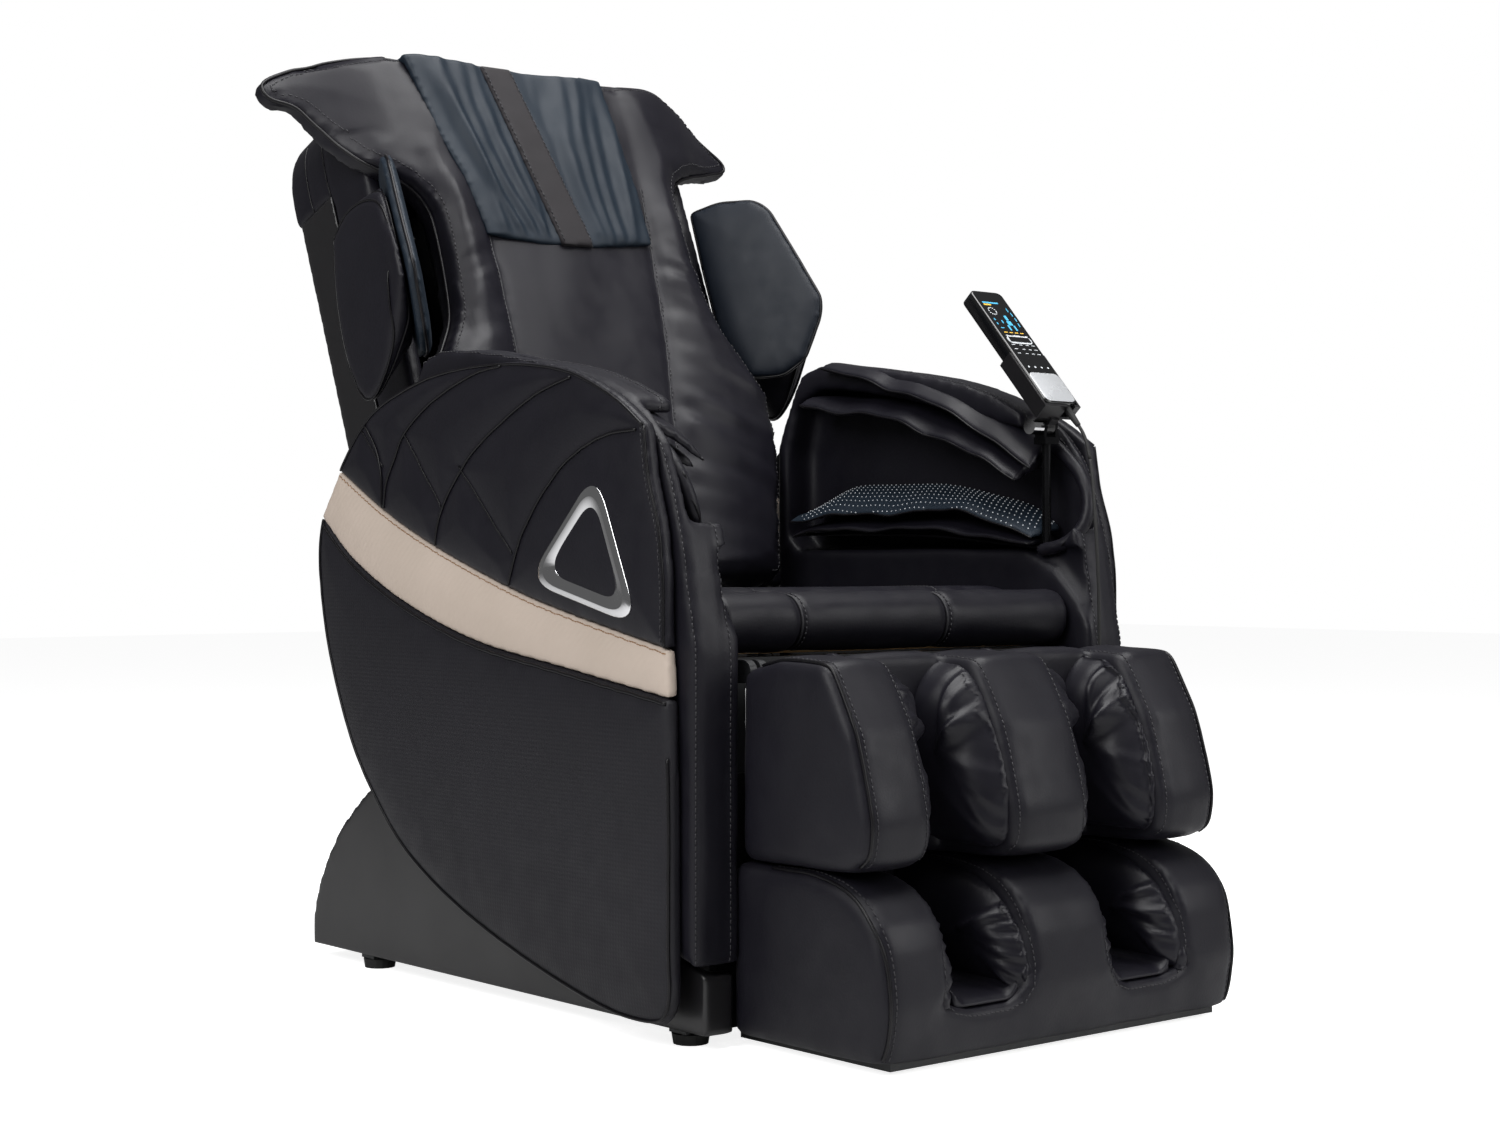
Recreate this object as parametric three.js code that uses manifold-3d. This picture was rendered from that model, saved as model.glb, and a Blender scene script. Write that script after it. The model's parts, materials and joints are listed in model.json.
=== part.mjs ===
// A reclining massage chair: a steel base with plastic covers, two arms with hand channels, a back that
// reclines and carries a travelling massage unit, and a leg rest that lifts and stretches.
//
// Millimetres, +Z up, the chair faces -Y, and +X is the sitter's left. The origin is on the floor, below the
// middle of the chair's length and width. Pieces are drawn in side view as (y, z) outlines and extruded
// across the chair, or drawn in front view as (x, z) outlines and extruded front to back.
import * as THREE from "three";
import { mergeVertices } from "three/addons/utils/BufferGeometryUtils.js";
import Module from "manifold-3d";

const wasm = await Module();
wasm.setup();

// ---------------------------------------------------------------- driving dimensions
// Fits
const GAP = 1; // between pieces that rest on each other
const RUNNING = 0.2; // radial clearance of a pin in its hole

// Across the chair, from the centre line
const SEAT_HALF = 285; // to the inner face of an arm
const ARM_BODY = 66; // thickness of an arm's structure
const PANEL = 23; // thickness of an upholstered side panel
const BASE_INSET = 18; // of a base cover behind the outer face of an arm
const BASE_HALF = SEAT_HALF + ARM_BODY - BASE_INSET; // to the outer face of a base cover
const HOOD_OVERHANG = 123; // of the head cover's tips past the arms' inner faces
const HOOD_HALF = SEAT_HALF + HOOD_OVERHANG; // to the tip of the head cover

// Heights
const FOOT_HEIGHT = 12;
const TUBE_HEIGHT = 40; // base tubes
const SEAT_RAIL_TOP = 430;
const PAN = 15; // thickness of the seat board
const CUSHION = 53; // thickness of the seat cushion
const ROLL_RADIUS = 36; // roll at the front of the seat
const CHANNEL_FLOOR = 556; // floor of the hand channel in an arm

// Lengths, front to back
const ARM_FRONT = -456;
const ARM_REAR = 150;
const SEAT_FRONT = -352;
const SEAT_REAR = 93;
const BASE_FRONT = -450;
const BASE_REAR = 408;

// Walls
const COVER_WALL = 4; // plastic covers
const PLATE = 10; // steel plates that carry pivots

// Back, in its own frame: origin on the pivot, z up along the back, y to the rear
const BACK_PIVOT = { y: 120, z: 400, pin: 9 };
const BACK_LEAN = 22; // degrees from upright at rest
const BACK_LENGTH = 862; // pivot to the top of the back pad
const PAD_THICKNESS = 51;
const PAD_FRONT = -88;
const BETWEEN_ARMS = 2; // clearance of the back and the calf rest inside the arms' inner faces
const BACK_HALF = SEAT_HALF - BETWEEN_ARMS; // to the outer face of the back shell
const SHELL_REAR = 150;
const HOOD_REAR = 168; // rear of the padded hood above the shell
const HOOD_HEIGHT = 140; // of the padded hood, below the top of the back pad
const HOOD_SEAM = BACK_LENGTH - HOOD_HEIGHT; // height of the joint between shell and hood
const SHELL_LOWEST = 40;
const SURROUND = 30; // thickness of the padded surround
const WING_CLEAR_RADIUS = 358; // nothing of a shoulder wing comes nearer to the pivot than this

// Massage unit, in the back's frame
const CARRIAGE_Z = 400; // height of the kneading shaft at rest
const RAIL_X = 150; // inner face of a guide rail
const RAIL = 15;
const TUBE_FRONT = 22; // front of the back frame's tubes
const TUBE_DEPTH = 24;
const SCREW = { y: 125, r: 8 };
const SHAFT = { y: 22, r: 8 };
const HUB = { r: 24, offset: 4, x: 75, width: 20 };
const ROLLER = { r: 27, width: 24, reach: 95, y: 14, axle: 5 };

// Leg rest
const LEG_PIVOT = { y: -442, z: 416, pin: 8 };
const CALF_HALF = SEAT_HALF - BETWEEN_ARMS;
const CALF_REAR = -457;
const CALF_BOTTOM = 212;
const CHANNEL_IN = 58; // leg channels, from the centre line
const CHANNEL_OUT = 188;
const CALF_CHANNEL_BACK = -535;
const FOOT_HALF = SEAT_HALF - 1;
const FOOT_REST_FRONT = -690;
const FOOT_REST_REAR = -442;
const FOOT_REST_TOP = 206;
const SOLE = 58; // height of the foot wells' floor
const HEEL = -485; // rear of the foot wells
const SLIDE = { x: 150, y: -432, r: 7 }; // rods that the foot rest slides on

// Linear actuators: where the body is held, its direction from +Y in side view, and how far off the eye is
const BACK_ACTUATOR = { y: 300, z: 100, angle: 138.05, length: 297 };
const LEG_ACTUATOR = { y: -141, z: 247, angle: 159.65, length: 300 };
const ACTUATOR = { tube: 20, rod: 9, eye: 24, bore: 17, tubeLength: 225, pin: 7 };

// Remote control on its pole: the tilt axis, and sizes in the remote's own frame
const TILT_AXIS = { x: SEAT_HALF + 11, y: -372, z: 712, bolt: 3 };
const REMOTE_LEAN = 42; // degrees that the remote leans back
const REMOTE = { half: 29, front: -42, back: -20, bottom: 4, length: 208 };
const CRADLE_WALL = 3.5;
const LEAD_RADIUS = 2.25;
const LEAD_OFFSET = 16; // of the lead from the remote's centre line

// ---------------------------------------------------------------- solids
const ROUND = 28; // sides of a shaft or pin

const rad = THREE.MathUtils.degToRad;

function solidOf(geometry) {
  const bare = geometry.index ? geometry.toNonIndexed() : geometry.clone();
  bare.deleteAttribute("normal");
  bare.deleteAttribute("uv");
  const merged = mergeVertices(bare, 1e-3);
  return new wasm.Manifold(
    new wasm.Mesh({
      numProp: 3,
      vertProperties: merged.attributes.position.array,
      triVerts: new Uint32Array(merged.index.array),
    }),
  );
}

function geometryOf(solid) {
  const mesh = solid.getMesh();
  return new THREE.BufferGeometry()
    .setAttribute("position", new THREE.BufferAttribute(mesh.vertProperties, 3))
    .setIndex(new THREE.BufferAttribute(mesh.triVerts, 1));
}

const join = (first, ...others) => geometryOf(others.reduce((sum, g) => sum.add(solidOf(g)), solidOf(first)));
const cut = (first, ...others) => geometryOf(others.reduce((rest, g) => rest.subtract(solidOf(g)), solidOf(first)));

function box(x0, x1, y0, y1, z0, z1) {
  return new THREE.BoxGeometry(x1 - x0, y1 - y0, z1 - z0).translate((x0 + x1) / 2, (y0 + y1) / 2, (z0 + z1) / 2);
}

// The same box on both sides of the centre line.
const pair = (x0, x1, y0, y1, z0, z1) => [box(x0, x1, y0, y1, z0, z1), box(-x1, -x0, y0, y1, z0, z1)];

function rodX(radius, x0, x1, y, z, sides = ROUND) {
  return new THREE.CylinderGeometry(radius, radius, x1 - x0, sides)
    .rotateZ(Math.PI / 2)
    .translate((x0 + x1) / 2, y, z);
}

function rodZ(radius, x, y, z0, z1, sides = ROUND, top = radius) {
  return new THREE.CylinderGeometry(top, radius, z1 - z0, sides)
    .rotateX(Math.PI / 2)
    .translate(x, y, (z0 + z1) / 2);
}

const polygon = (points) => new THREE.Shape(points.map(([a, b]) => new THREE.Vector2(a, b)));

// Points of a smooth curve through the given points.
function through(points, steps) {
  const curve = new THREE.SplineCurve(points.map(([a, b]) => new THREE.Vector2(a, b)));
  return curve.getPoints(steps).map((p) => [p.x, p.y]);
}

function extrude(shape, depth, bevel) {
  return new THREE.ExtrudeGeometry(shape, {
    depth: depth - 2 * bevel,
    bevelEnabled: bevel > 0,
    bevelThickness: bevel,
    bevelSize: bevel,
    bevelOffset: -bevel,
    bevelSegments: 1,
    curveSegments: 6,
  }).translate(0, 0, bevel);
}

// A side-view outline of (y, z) points extruded from x0 to x1.
function acrossX(shape, x0, x1, bevel = 0) {
  const turn = new THREE.Matrix4().set(0, 0, 1, x0, 1, 0, 0, 0, 0, 1, 0, 0, 0, 0, 0, 1);
  return extrude(shape, x1 - x0, bevel).applyMatrix4(turn);
}

// A front-view outline of (x, z) points extruded from y0 to y1.
function acrossY(shape, y0, y1, bevel = 0) {
  const turn = new THREE.Matrix4().set(1, 0, 0, 0, 0, 0, -1, y1, 0, 1, 0, 0, 0, 0, 0, 1);
  return extrude(shape, y1 - y0, bevel).applyMatrix4(turn);
}

// ---------------------------------------------------------------- materials and nodes
const finish = (color, roughness, metalness = 0) => new THREE.MeshStandardMaterial({ color, roughness, metalness });
const LEATHER = finish(0x1c1b20, 0.45);
const PERFORATED = finish(0x1d222b, 0.5);
const CREAM = finish(0xd3c0a8, 0.55);
const PLASTIC = finish(0x2c2b2b, 0.4);
const STEEL = finish(0x2a2c2f, 0.5, 0.6);
const ZINC = finish(0xa8abad, 0.35, 0.9);
const CHROME = finish(0xd8d8da, 0.08, 1);
const RUBBER = finish(0x101010, 0.9);
const NYLON = finish(0xb9a98a, 0.5);

const chair = new THREE.Group();
const back = new THREE.Group();
back.position.set(0, BACK_PIVOT.y, BACK_PIVOT.z);
back.rotation.x = -rad(BACK_LEAN);
const handset = new THREE.Group();
handset.position.set(TILT_AXIS.x, TILT_AXIS.y, TILT_AXIS.z);
handset.rotation.x = -rad(REMOTE_LEAN);
chair.add(back, handset);

function add(group, name, geometry, material) {
  const mesh = new THREE.Mesh(geometry, material);
  mesh.name = name;
  group.add(mesh);
  return mesh;
}

// A piece on the sitter's left and its mirror image on the right.
function addBoth(group, name, geometry, material) {
  add(group, `${name}_left`, geometry, material);
  add(group, `${name}_right`, geometry, material).scale.x = -1;
}

// ---------------------------------------------------------------- base
const TUBE = 30;
const FRAME_BOTTOM = FOOT_HEIGHT + GAP;
const FRAME_TOP = FRAME_BOTTOM + TUBE_HEIGHT;
const BRACKET_OUT = SEAT_HALF - 13; // outer face of the plates that carry the pivots
const BRACKET_IN = BRACKET_OUT - PLATE;
const EAR_OUT = BRACKET_IN - 6; // outer face of the ears that turn on the pivots
const COVER_INSIDE = BASE_HALF - COVER_WALL;
const FEET_Y = [-395, 268];
const RAIL_LENGTH = [-408, 370];
const RAIL_OUT = BRACKET_OUT - 2; // outer face of the frame's long tubes
const RAIL_IN = RAIL_OUT - TUBE;
const TRUNNION_X = 26; // inner face of the plates that hold an actuator

function baseFrame() {
  const level = (x, y0, y1) => box(-x, x, y0, y1, FRAME_BOTTOM, FRAME_TOP);
  const outriggers = FEET_Y.map((y) => level(COVER_INSIDE - GAP, y - TUBE / 2, y + TUBE / 2));
  const rails = pair(RAIL_IN, RAIL_OUT, ...RAIL_LENGTH, FRAME_BOTTOM, FRAME_TOP);
  const tray = box(-RAIL_IN, RAIL_IN, 40, 285, FRAME_TOP - 3, FRAME_TOP);
  const postTop = SEAT_RAIL_TOP - 35;
  const frontPosts = pair(RAIL_IN, RAIL_OUT, ...[-408, -380], FRAME_TOP - 1, postTop + 1);
  const seatRails = pair(EAR_OUT + 2, BRACKET_OUT, -408, BACK_PIVOT.y + 30, postTop, SEAT_RAIL_TOP);
  const seatFront = box(-BRACKET_OUT, BRACKET_OUT, -408, -380, postTop, SEAT_RAIL_TOP);
  const pivotPlates = pair(
    BRACKET_IN,
    BRACKET_OUT,
    BACK_PIVOT.y - 30,
    BACK_PIVOT.y + 30,
    FRAME_TOP - 1,
    BACK_PIVOT.z + 25,
  );
  const pivotFeet = pair(EAR_OUT + 2, BRACKET_OUT, BACK_PIVOT.y - 30, BACK_PIVOT.y + 30, FRAME_BOTTOM, FRAME_TOP);
  const legPlates = pair(BRACKET_IN, BRACKET_OUT, LEG_PIVOT.y, -400, LEG_PIVOT.z - 13, LEG_PIVOT.z + 13);
  const legBosses = [-BRACKET_OUT, BRACKET_IN].map((x) => rodX(13, x, x + PLATE, LEG_PIVOT.y, LEG_PIVOT.z));
  const armMounts = [-300, 0].flatMap((y) => pair(BRACKET_OUT - 1, SEAT_HALF, y - 15, y + 15, 405, 425));
  const legCross = level(RAIL_IN + 10, LEG_ACTUATOR.y - 20, LEG_ACTUATOR.y + 20);
  const legTrunnion = pair(
    TRUNNION_X,
    TRUNNION_X + 8,
    LEG_ACTUATOR.y - 20,
    LEG_ACTUATOR.y + 20,
    FRAME_BOTTOM,
    LEG_ACTUATOR.z + 18,
  );
  const backTrunnion = pair(
    TRUNNION_X,
    TRUNNION_X + 8,
    FEET_Y[1],
    BACK_ACTUATOR.y + 20,
    FRAME_BOTTOM + 10,
    BACK_ACTUATOR.z + 20,
  );
  const pins = [-1, 1].flatMap((side) => {
    const span = [EAR_OUT - 12, BRACKET_IN + 1].map((x) => side * x).sort((a, b) => a - b);
    return [
      rodX(BACK_PIVOT.pin, ...span, BACK_PIVOT.y, BACK_PIVOT.z),
      rodX(LEG_PIVOT.pin, ...span, LEG_PIVOT.y, LEG_PIVOT.z),
    ];
  });
  return join(
    ...rails,
    ...outriggers,
    tray,
    ...frontPosts,
    ...seatRails,
    seatFront,
    ...pivotPlates,
    ...pivotFeet,
    ...legPlates,
    ...legBosses,
    ...armMounts,
    legCross,
    ...legTrunnion,
    ...backTrunnion,
    ...pins,
  );
}

// Outline of a base cover: low at the front, rising to a rounded tail.
const COVER_TOP_REAR = 255;
function coverOutline() {
  const tail = through(
    [
      [150, COVER_TOP_REAR - 5],
      [215, COVER_TOP_REAR],
      [272, 228],
      [340, 170],
      [388, 100],
      [BASE_REAR, 36],
      [BASE_REAR - 6, 16],
    ],
    12,
  );
  return polygon([[BASE_FRONT, 16], [BASE_FRONT, 84], ...tail].reverse());
}

function baseCover() {
  const side = acrossX(coverOutline(), COVER_INSIDE, BASE_HALF);
  const frontReturn = box(SEAT_HALF + 7, BASE_HALF, BASE_FRONT, BASE_FRONT + COVER_WALL, 16, 200);
  const frontSide = box(COVER_INSIDE, BASE_HALF, BASE_FRONT, BASE_FRONT + 30, 16, 84);
  const belowArm = box(SEAT_HALF - 1, BASE_HALF + GAP, BASE_FRONT - 1, BASE_FRONT + 40, 84, 201);
  return cut(join(side, frontReturn, frontSide), belowArm);
}

function rearCover() {
  const outside = [
    [BASE_REAR - 8, 18],
    [BASE_REAR - 2, 40],
    [386, 98],
    [338, 166],
    [270, 224],
    [215, 250],
  ];
  const inside = outside.map(([y, z]) => [y - COVER_WALL, z - 1]).reverse();
  const wall = acrossX(polygon([...outside, ...inside]), -COVER_INSIDE + GAP, COVER_INSIDE - GAP);
  const inletHole = box(INLET.x - INLET.half - RUNNING, INLET.x + INLET.half + RUNNING, 370, 420, INLET.z0 - RUNNING, INLET.z1 + RUNNING);
  const switchHole = box(SWITCH.x - SWITCH.half - 1, SWITCH.x + SWITCH.half + 1, 370, 420, SWITCH.z - 12, SWITCH.z + 12);
  return cut(wall, inletHole, switchHole);
}

// Mains inlet and rocker switch in the rear cover.
const INLET = { x: 240, half: 15, z0: 50, z1: 74 };
const SWITCH = { x: 180, half: 7, z: 62, y: 394 };

function inlet() {
  const body = box(INLET.x - INLET.half, INLET.x + INLET.half, 372, 406, INLET.z0, INLET.z1);
  const socket = box(INLET.x - INLET.half + 4, INLET.x + INLET.half - 4, 390, 410, INLET.z0 + 4, INLET.z1 - 4);
  return cut(body, socket);
}

function base() {
  add(chair, "base_frame", baseFrame(), STEEL);
  addBoth(chair, "base_cover", baseCover(), PLASTIC);
  const frontTop = 300;
  const frontCover = box(-SEAT_HALF, SEAT_HALF, -415, -415 + COVER_WALL, 16, frontTop);
  add(chair, "base_front_cover", frontCover, PLASTIC);
  add(chair, "base_rear_cover", rearCover(), PLASTIC);
  add(chair, "power_inlet", inlet(), RUBBER);
  const rocker = [
    [SWITCH.y + 2, SWITCH.z],
    [SWITCH.y + 9, SWITCH.z + 10],
    [SWITCH.y - 7, SWITCH.z + 8],
    [SWITCH.y - 7, SWITCH.z - 8],
    [SWITCH.y + 6, SWITCH.z - 10],
  ];
  add(
    chair,
    "power_switch",
    acrossX(polygon(rocker.reverse()), SWITCH.x - SWITCH.half, SWITCH.x + SWITCH.half),
    RUBBER,
  );
  FEET_Y.forEach((y, i) => {
    const foot = rodZ(20, BASE_HALF - 24, y, 0, FOOT_HEIGHT, 16, 22);
    addBoth(chair, ["foot_front", "foot_rear"][i], foot, RUBBER);
  });
  const controls = box(-230, -60, 50, 240, FRAME_TOP + GAP + 3, FRAME_TOP + 62);
  const pump = box(60, 225, 60, 190, FRAME_TOP + GAP + 3, FRAME_TOP + 90);
  const tray = box(-230, 225, 60, 180, FRAME_TOP + GAP, FRAME_TOP + GAP + 4);
  add(chair, "control_and_air_unit", join(tray, controls, pump), ZINC);
}

// ---------------------------------------------------------------- seat
const PAN_BOTTOM = SEAT_RAIL_TOP + GAP;
const CUSHION_BOTTOM = PAN_BOTTOM + PAN + GAP;
const SEAT_TOP = CUSHION_BOTTOM + CUSHION;
const ROLL = { y: SEAT_FRONT - 4 - ROLL_RADIUS, z: SEAT_RAIL_TOP + 2 + ROLL_RADIUS };

function seat() {
  add(chair, "seat_pan", box(-SEAT_HALF + 15, SEAT_HALF - 15, SEAT_FRONT + 2, SEAT_REAR, PAN_BOTTOM, PAN_BOTTOM + PAN), NYLON);
  const cushion = polygon([
    [SEAT_FRONT, CUSHION_BOTTOM],
    [SEAT_REAR, CUSHION_BOTTOM],
    [SEAT_REAR, SEAT_TOP - 8],
    [SEAT_FRONT, SEAT_TOP],
  ]);
  add(chair, "seat_cushion", acrossX(cushion, -SEAT_HALF + 2, SEAT_HALF - 2, 6), LEATHER);
  add(chair, "seat_roll", rodX(ROLL_RADIUS, -SEAT_HALF + GAP, SEAT_HALF - GAP, ROLL.y, ROLL.z, 24), LEATHER);
}

// ---------------------------------------------------------------- arms
const ARM_IN = SEAT_HALF + GAP;
const ARM_OUT = SEAT_HALF + ARM_BODY;
const PANEL_IN = ARM_OUT + GAP;
const PANEL_OUT = PANEL_IN + PANEL;
const OUTER_WALL = 16; // of the arm, outside the hand channel
const LIP_WIDTH = 14; // of the slope at the inner front of an arm
const ROOF_TOP = 800; // highest point of an arm
const ROOF_FRONT = -335; // the hand channel's roof ends here
const ROOF = 34; // thickness of the roof

// Top of an arm in side view, from the front to the rear.
const ARM_ARCH = [
  [ARM_FRONT + 22, CHANNEL_FLOOR + 4],
  [ARM_FRONT + 62, 672],
  [ARM_FRONT + 130, 726],
  [-230, 758],
  [-114, ROOF_TOP - 20],
  [0, ROOF_TOP - 4],
  [62, ROOF_TOP],
];

function armFrame() {
  const arch = through(ARM_ARCH, 12);
  const outline = polygon([
    [ARM_FRONT, 92],
    [ARM_FRONT, 440],
    ...arch,
    [100, ROOF_TOP - 10],
    [BACK_PIVOT.y + 6, 745],
    [ARM_REAR, 700],
    [ARM_REAR, 300],
  ].reverse());
  const roofLine = through(ARM_ARCH.slice(3), 8).map(([y, z]) => [y, z - ROOF]);
  const channel = polygon([
    [ARM_FRONT + 55, CHANNEL_FLOOR],
    [ARM_FRONT + 20, 600],
    [ARM_FRONT - 10, 690],
    [ARM_FRONT - 10, ROOF_TOP],
    [ROOF_FRONT, ROOF_TOP],
    [ROOF_FRONT, 706],
    ...roofLine,
    [ARM_REAR - 40, ROOF_TOP - ROOF - 20],
    [ARM_REAR - 22, 690],
    [ARM_REAR - 22, CHANNEL_FLOOR + 20],
    [ARM_REAR - 45, CHANNEL_FLOOR],
  ].reverse());
  const hollow = acrossX(channel, ARM_IN - 5, ARM_OUT - OUTER_WALL);
  const lip = polygon([
    [ARM_FRONT - 10, 440],
    [ARM_FRONT + 20, 486],
    [ARM_FRONT + 62, 530],
    [ARM_FRONT + 120, CHANNEL_FLOOR + 2],
    [ARM_FRONT - 10, CHANNEL_FLOOR + 2],
  ].reverse());
  return cut(acrossX(outline, ARM_IN, ARM_OUT), hollow, acrossX(lip, ARM_IN - 5, ARM_IN + LIP_WIDTH));
}

function panelOutline() {
  const sweep = through(
    [
      [-446, 62],
      [-403, 28],
      [-314, 32],
      [-156, 68],
      [-5, 117],
      [111, 174],
      [188, 240],
      [246, 312],
      [300, 425],
      [325, 540],
      [321, 598],
    ],
    22,
  );
  const arch = through(
    [
      [277, 655],
      [183, 733],
      [111, 757],
      [18, 776],
      [-114, 780],
      [-237, 764],
      [-314, 728],
      [-378, 686],
    ],
    14,
  );
  const front = [
    [-403, 617],
    [-418, 540],
    [-436, 440],
    [-444, 330],
  ];
  return polygon([...sweep, ...arch, ...front]);
}

// Rounded triangle of the trim ring, as (y, z) with its corners at the given inset.
function triangle(inset) {
  const corners = [
    [-316, 640],
    [-388, 468],
    [-184, 506],
  ];
  const middle = corners.reduce(([a, b], [y, z]) => [a + y / 3, b + z / 3], [0, 0]);
  const scaled = corners.map(([y, z]) => [
    middle[0] + (y - middle[0]) * (1 - inset),
    middle[1] + (z - middle[1]) * (1 - inset),
  ]);
  const shape = new THREE.Shape();
  const between = (p, q, t) => [p[0] + (q[0] - p[0]) * t, p[1] + (q[1] - p[1]) * t];
  scaled.forEach((corner, i) => {
    const before = scaled[(i + 2) % 3];
    const after = scaled[(i + 1) % 3];
    const start = between(corner, before, 0.25);
    const end = between(corner, after, 0.25);
    if (i === 0) shape.moveTo(...start);
    else shape.lineTo(...start);
    shape.quadraticCurveTo(...corner, ...end);
  });
  return shape;
}

const RING_DEPTH = 6;
function trimRing() {
  const outer = acrossX(triangle(0), PANEL_OUT + RUNNING, PANEL_OUT + RUNNING + RING_DEPTH);
  return cut(outer, acrossX(triangle(0.34), PANEL_OUT - 1, PANEL_OUT + RING_DEPTH + 2));
}

const FLAP_IN = SEAT_HALF - 24; // how far the arm's air cushions reach in over the seat
const FLAP_OUT = ARM_OUT - OUTER_WALL - 2;
const UPPER_FLAP = 36; // thickness of the upper air cushion

function upperFlap() {
  const top = through(ARM_ARCH.slice(3), 6).map(([y, z]) => [Math.min(y, 60), z - ROOF - 2]);
  const line = [[ROOF_FRONT + 4, 700], ...top];
  const under = line.map(([y, z]) => [y, z - UPPER_FLAP]).reverse();
  return acrossX(polygon([...line, ...under].reverse()), FLAP_IN, FLAP_OUT, 4);
}

function lowerFlap() {
  const floor = CHANNEL_FLOOR + GAP;
  const top = through(
    [
      [ARM_REAR - 50, floor + 36],
      [20, floor + 62],
      [-110, floor + 60],
      [-230, floor + 52],
      [-330, floor + 22],
    ],
    8,
  );
  return acrossX(polygon([[-335, floor], [ARM_REAR - 48, floor], ...top]), FLAP_IN, FLAP_OUT, 4);
}

function arms() {
  addBoth(chair, "arm_frame", armFrame(), LEATHER);
  addBoth(chair, "side_panel", acrossX(panelOutline(), PANEL_IN, PANEL_OUT, 5), LEATHER);
  addBoth(chair, "trim_ring", trimRing(), CHROME);
  addBoth(chair, "arm_upper_cushion", upperFlap(), LEATHER);
  addBoth(chair, "arm_lower_cushion", lowerFlap(), PERFORATED);
}

// ---------------------------------------------------------------- back
const SHELL_TOP = BACK_LENGTH + 8;
const SURROUND_FRONT = PAD_FRONT + PAD_THICKNESS + GAP;
const SHELL_FRONT = 60;
const FRAME_LENGTH = HOOD_SEAM - 4; // top of the back frame
const TUBE_REAR = TUBE_FRONT + TUBE_DEPTH;
const SIDE_TUBE = { in: EAR_OUT - 6 - TUBE_DEPTH, out: EAR_OUT - 6 };
const LOW_CROSS = 60; // bottom of the lower cross tube
const LEVER = 110; // pivot to the recline actuator's pin

// Front-view outline of the back's casing: straight sides, rounded top, narrower foot.
function backOutline(inset) {
  const half = BACK_HALF - inset;
  const top = SHELL_TOP - inset;
  const foot = SHELL_LOWEST;
  const shape = new THREE.Shape();
  shape.moveTo(-half + 40, foot);
  shape.lineTo(half - 40, foot);
  shape.quadraticCurveTo(half, foot, half, foot + 80);
  shape.lineTo(half, top - 110);
  shape.quadraticCurveTo(half, top, half - 90, top);
  shape.lineTo(-half + 90, top);
  shape.quadraticCurveTo(-half, top, -half, top - 110);
  shape.lineTo(-half, foot + 80);
  shape.quadraticCurveTo(-half, foot, -half + 40, foot);
  return shape;
}

function backFrame() {
  const tube = (x0, x1, z0, z1) => box(x0, x1, TUBE_FRONT, TUBE_REAR, z0, z1);
  const both = (x0, x1, z0, z1) => pair(x0, x1, TUBE_FRONT, TUBE_REAR, z0, z1);
  const ends = [LOW_CROSS, FRAME_LENGTH - TUBE_DEPTH];
  const crossTubes = ends.map((z) => tube(-SIDE_TUBE.out, SIDE_TUBE.out, z, z + TUBE_DEPTH));
  const screwBlocks = ends.map((z) => box(-16, 16, TUBE_FRONT + 4, SCREW.y + 14, z, z + TUBE_DEPTH));
  const earIn = EAR_OUT - 10;
  const ear = new THREE.Shape();
  ear.moveTo(0, -24);
  ear.absarc(0, 0, 24, -Math.PI / 2, Math.PI, true);
  const earPlates = [-EAR_OUT, earIn].flatMap((x) => [
    rodX(24, x, x + 10, 0, 0),
    box(x, x + 10, -12, TUBE_REAR, 0, LOW_CROSS + TUBE_DEPTH),
  ]);
  const lever = acrossX(
    polygon([
      [-14, -LEVER],
      [10, -LEVER - 14],
      [18, -LEVER],
      [TUBE_REAR, LOW_CROSS],
      [TUBE_REAR, LOW_CROSS + TUBE_DEPTH],
      [TUBE_FRONT, LOW_CROSS + TUBE_DEPTH],
    ]),
    -5,
    5,
  );
  const leverPin = rodX(ACTUATOR.pin, -18, 18, 0, -LEVER);
  const body = join(
    ...both(SIDE_TUBE.in, SIDE_TUBE.out, 0, FRAME_LENGTH),
    ...both(RAIL_X, RAIL_X + RAIL, LOW_CROSS, FRAME_LENGTH),
    ...crossTubes,
    ...screwBlocks,
    ...earPlates,
    lever,
    leverPin,
  );
  const pivotHole = rodX(BACK_PIVOT.pin + RUNNING, -EAR_OUT - 20, EAR_OUT + 20, 0, 0);
  const screwHole = rodZ(SCREW.r + RUNNING, 0, SCREW.y, 0, BACK_LENGTH);
  return cut(body, pivotHole, screwHole);
}

// Everything above the given height, to cut a casing at its seam.
const above = (z) => box(-BACK_HALF - 5, BACK_HALF + 5, -200, 300, z, BACK_LENGTH + 100);

function backShell() {
  const outer = acrossY(backOutline(0), SHELL_FRONT, SHELL_REAR, 6);
  const inner = acrossY(backOutline(COVER_WALL), SHELL_FRONT - 1, SHELL_REAR - COVER_WALL);
  const openFoot = box(-BACK_HALF + 60, BACK_HALF - 60, SHELL_FRONT - 1, SHELL_REAR - 30, SHELL_LOWEST - 1, SHELL_LOWEST + 10);
  return cut(outer, inner, openFoot, above(HOOD_SEAM));
}

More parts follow.
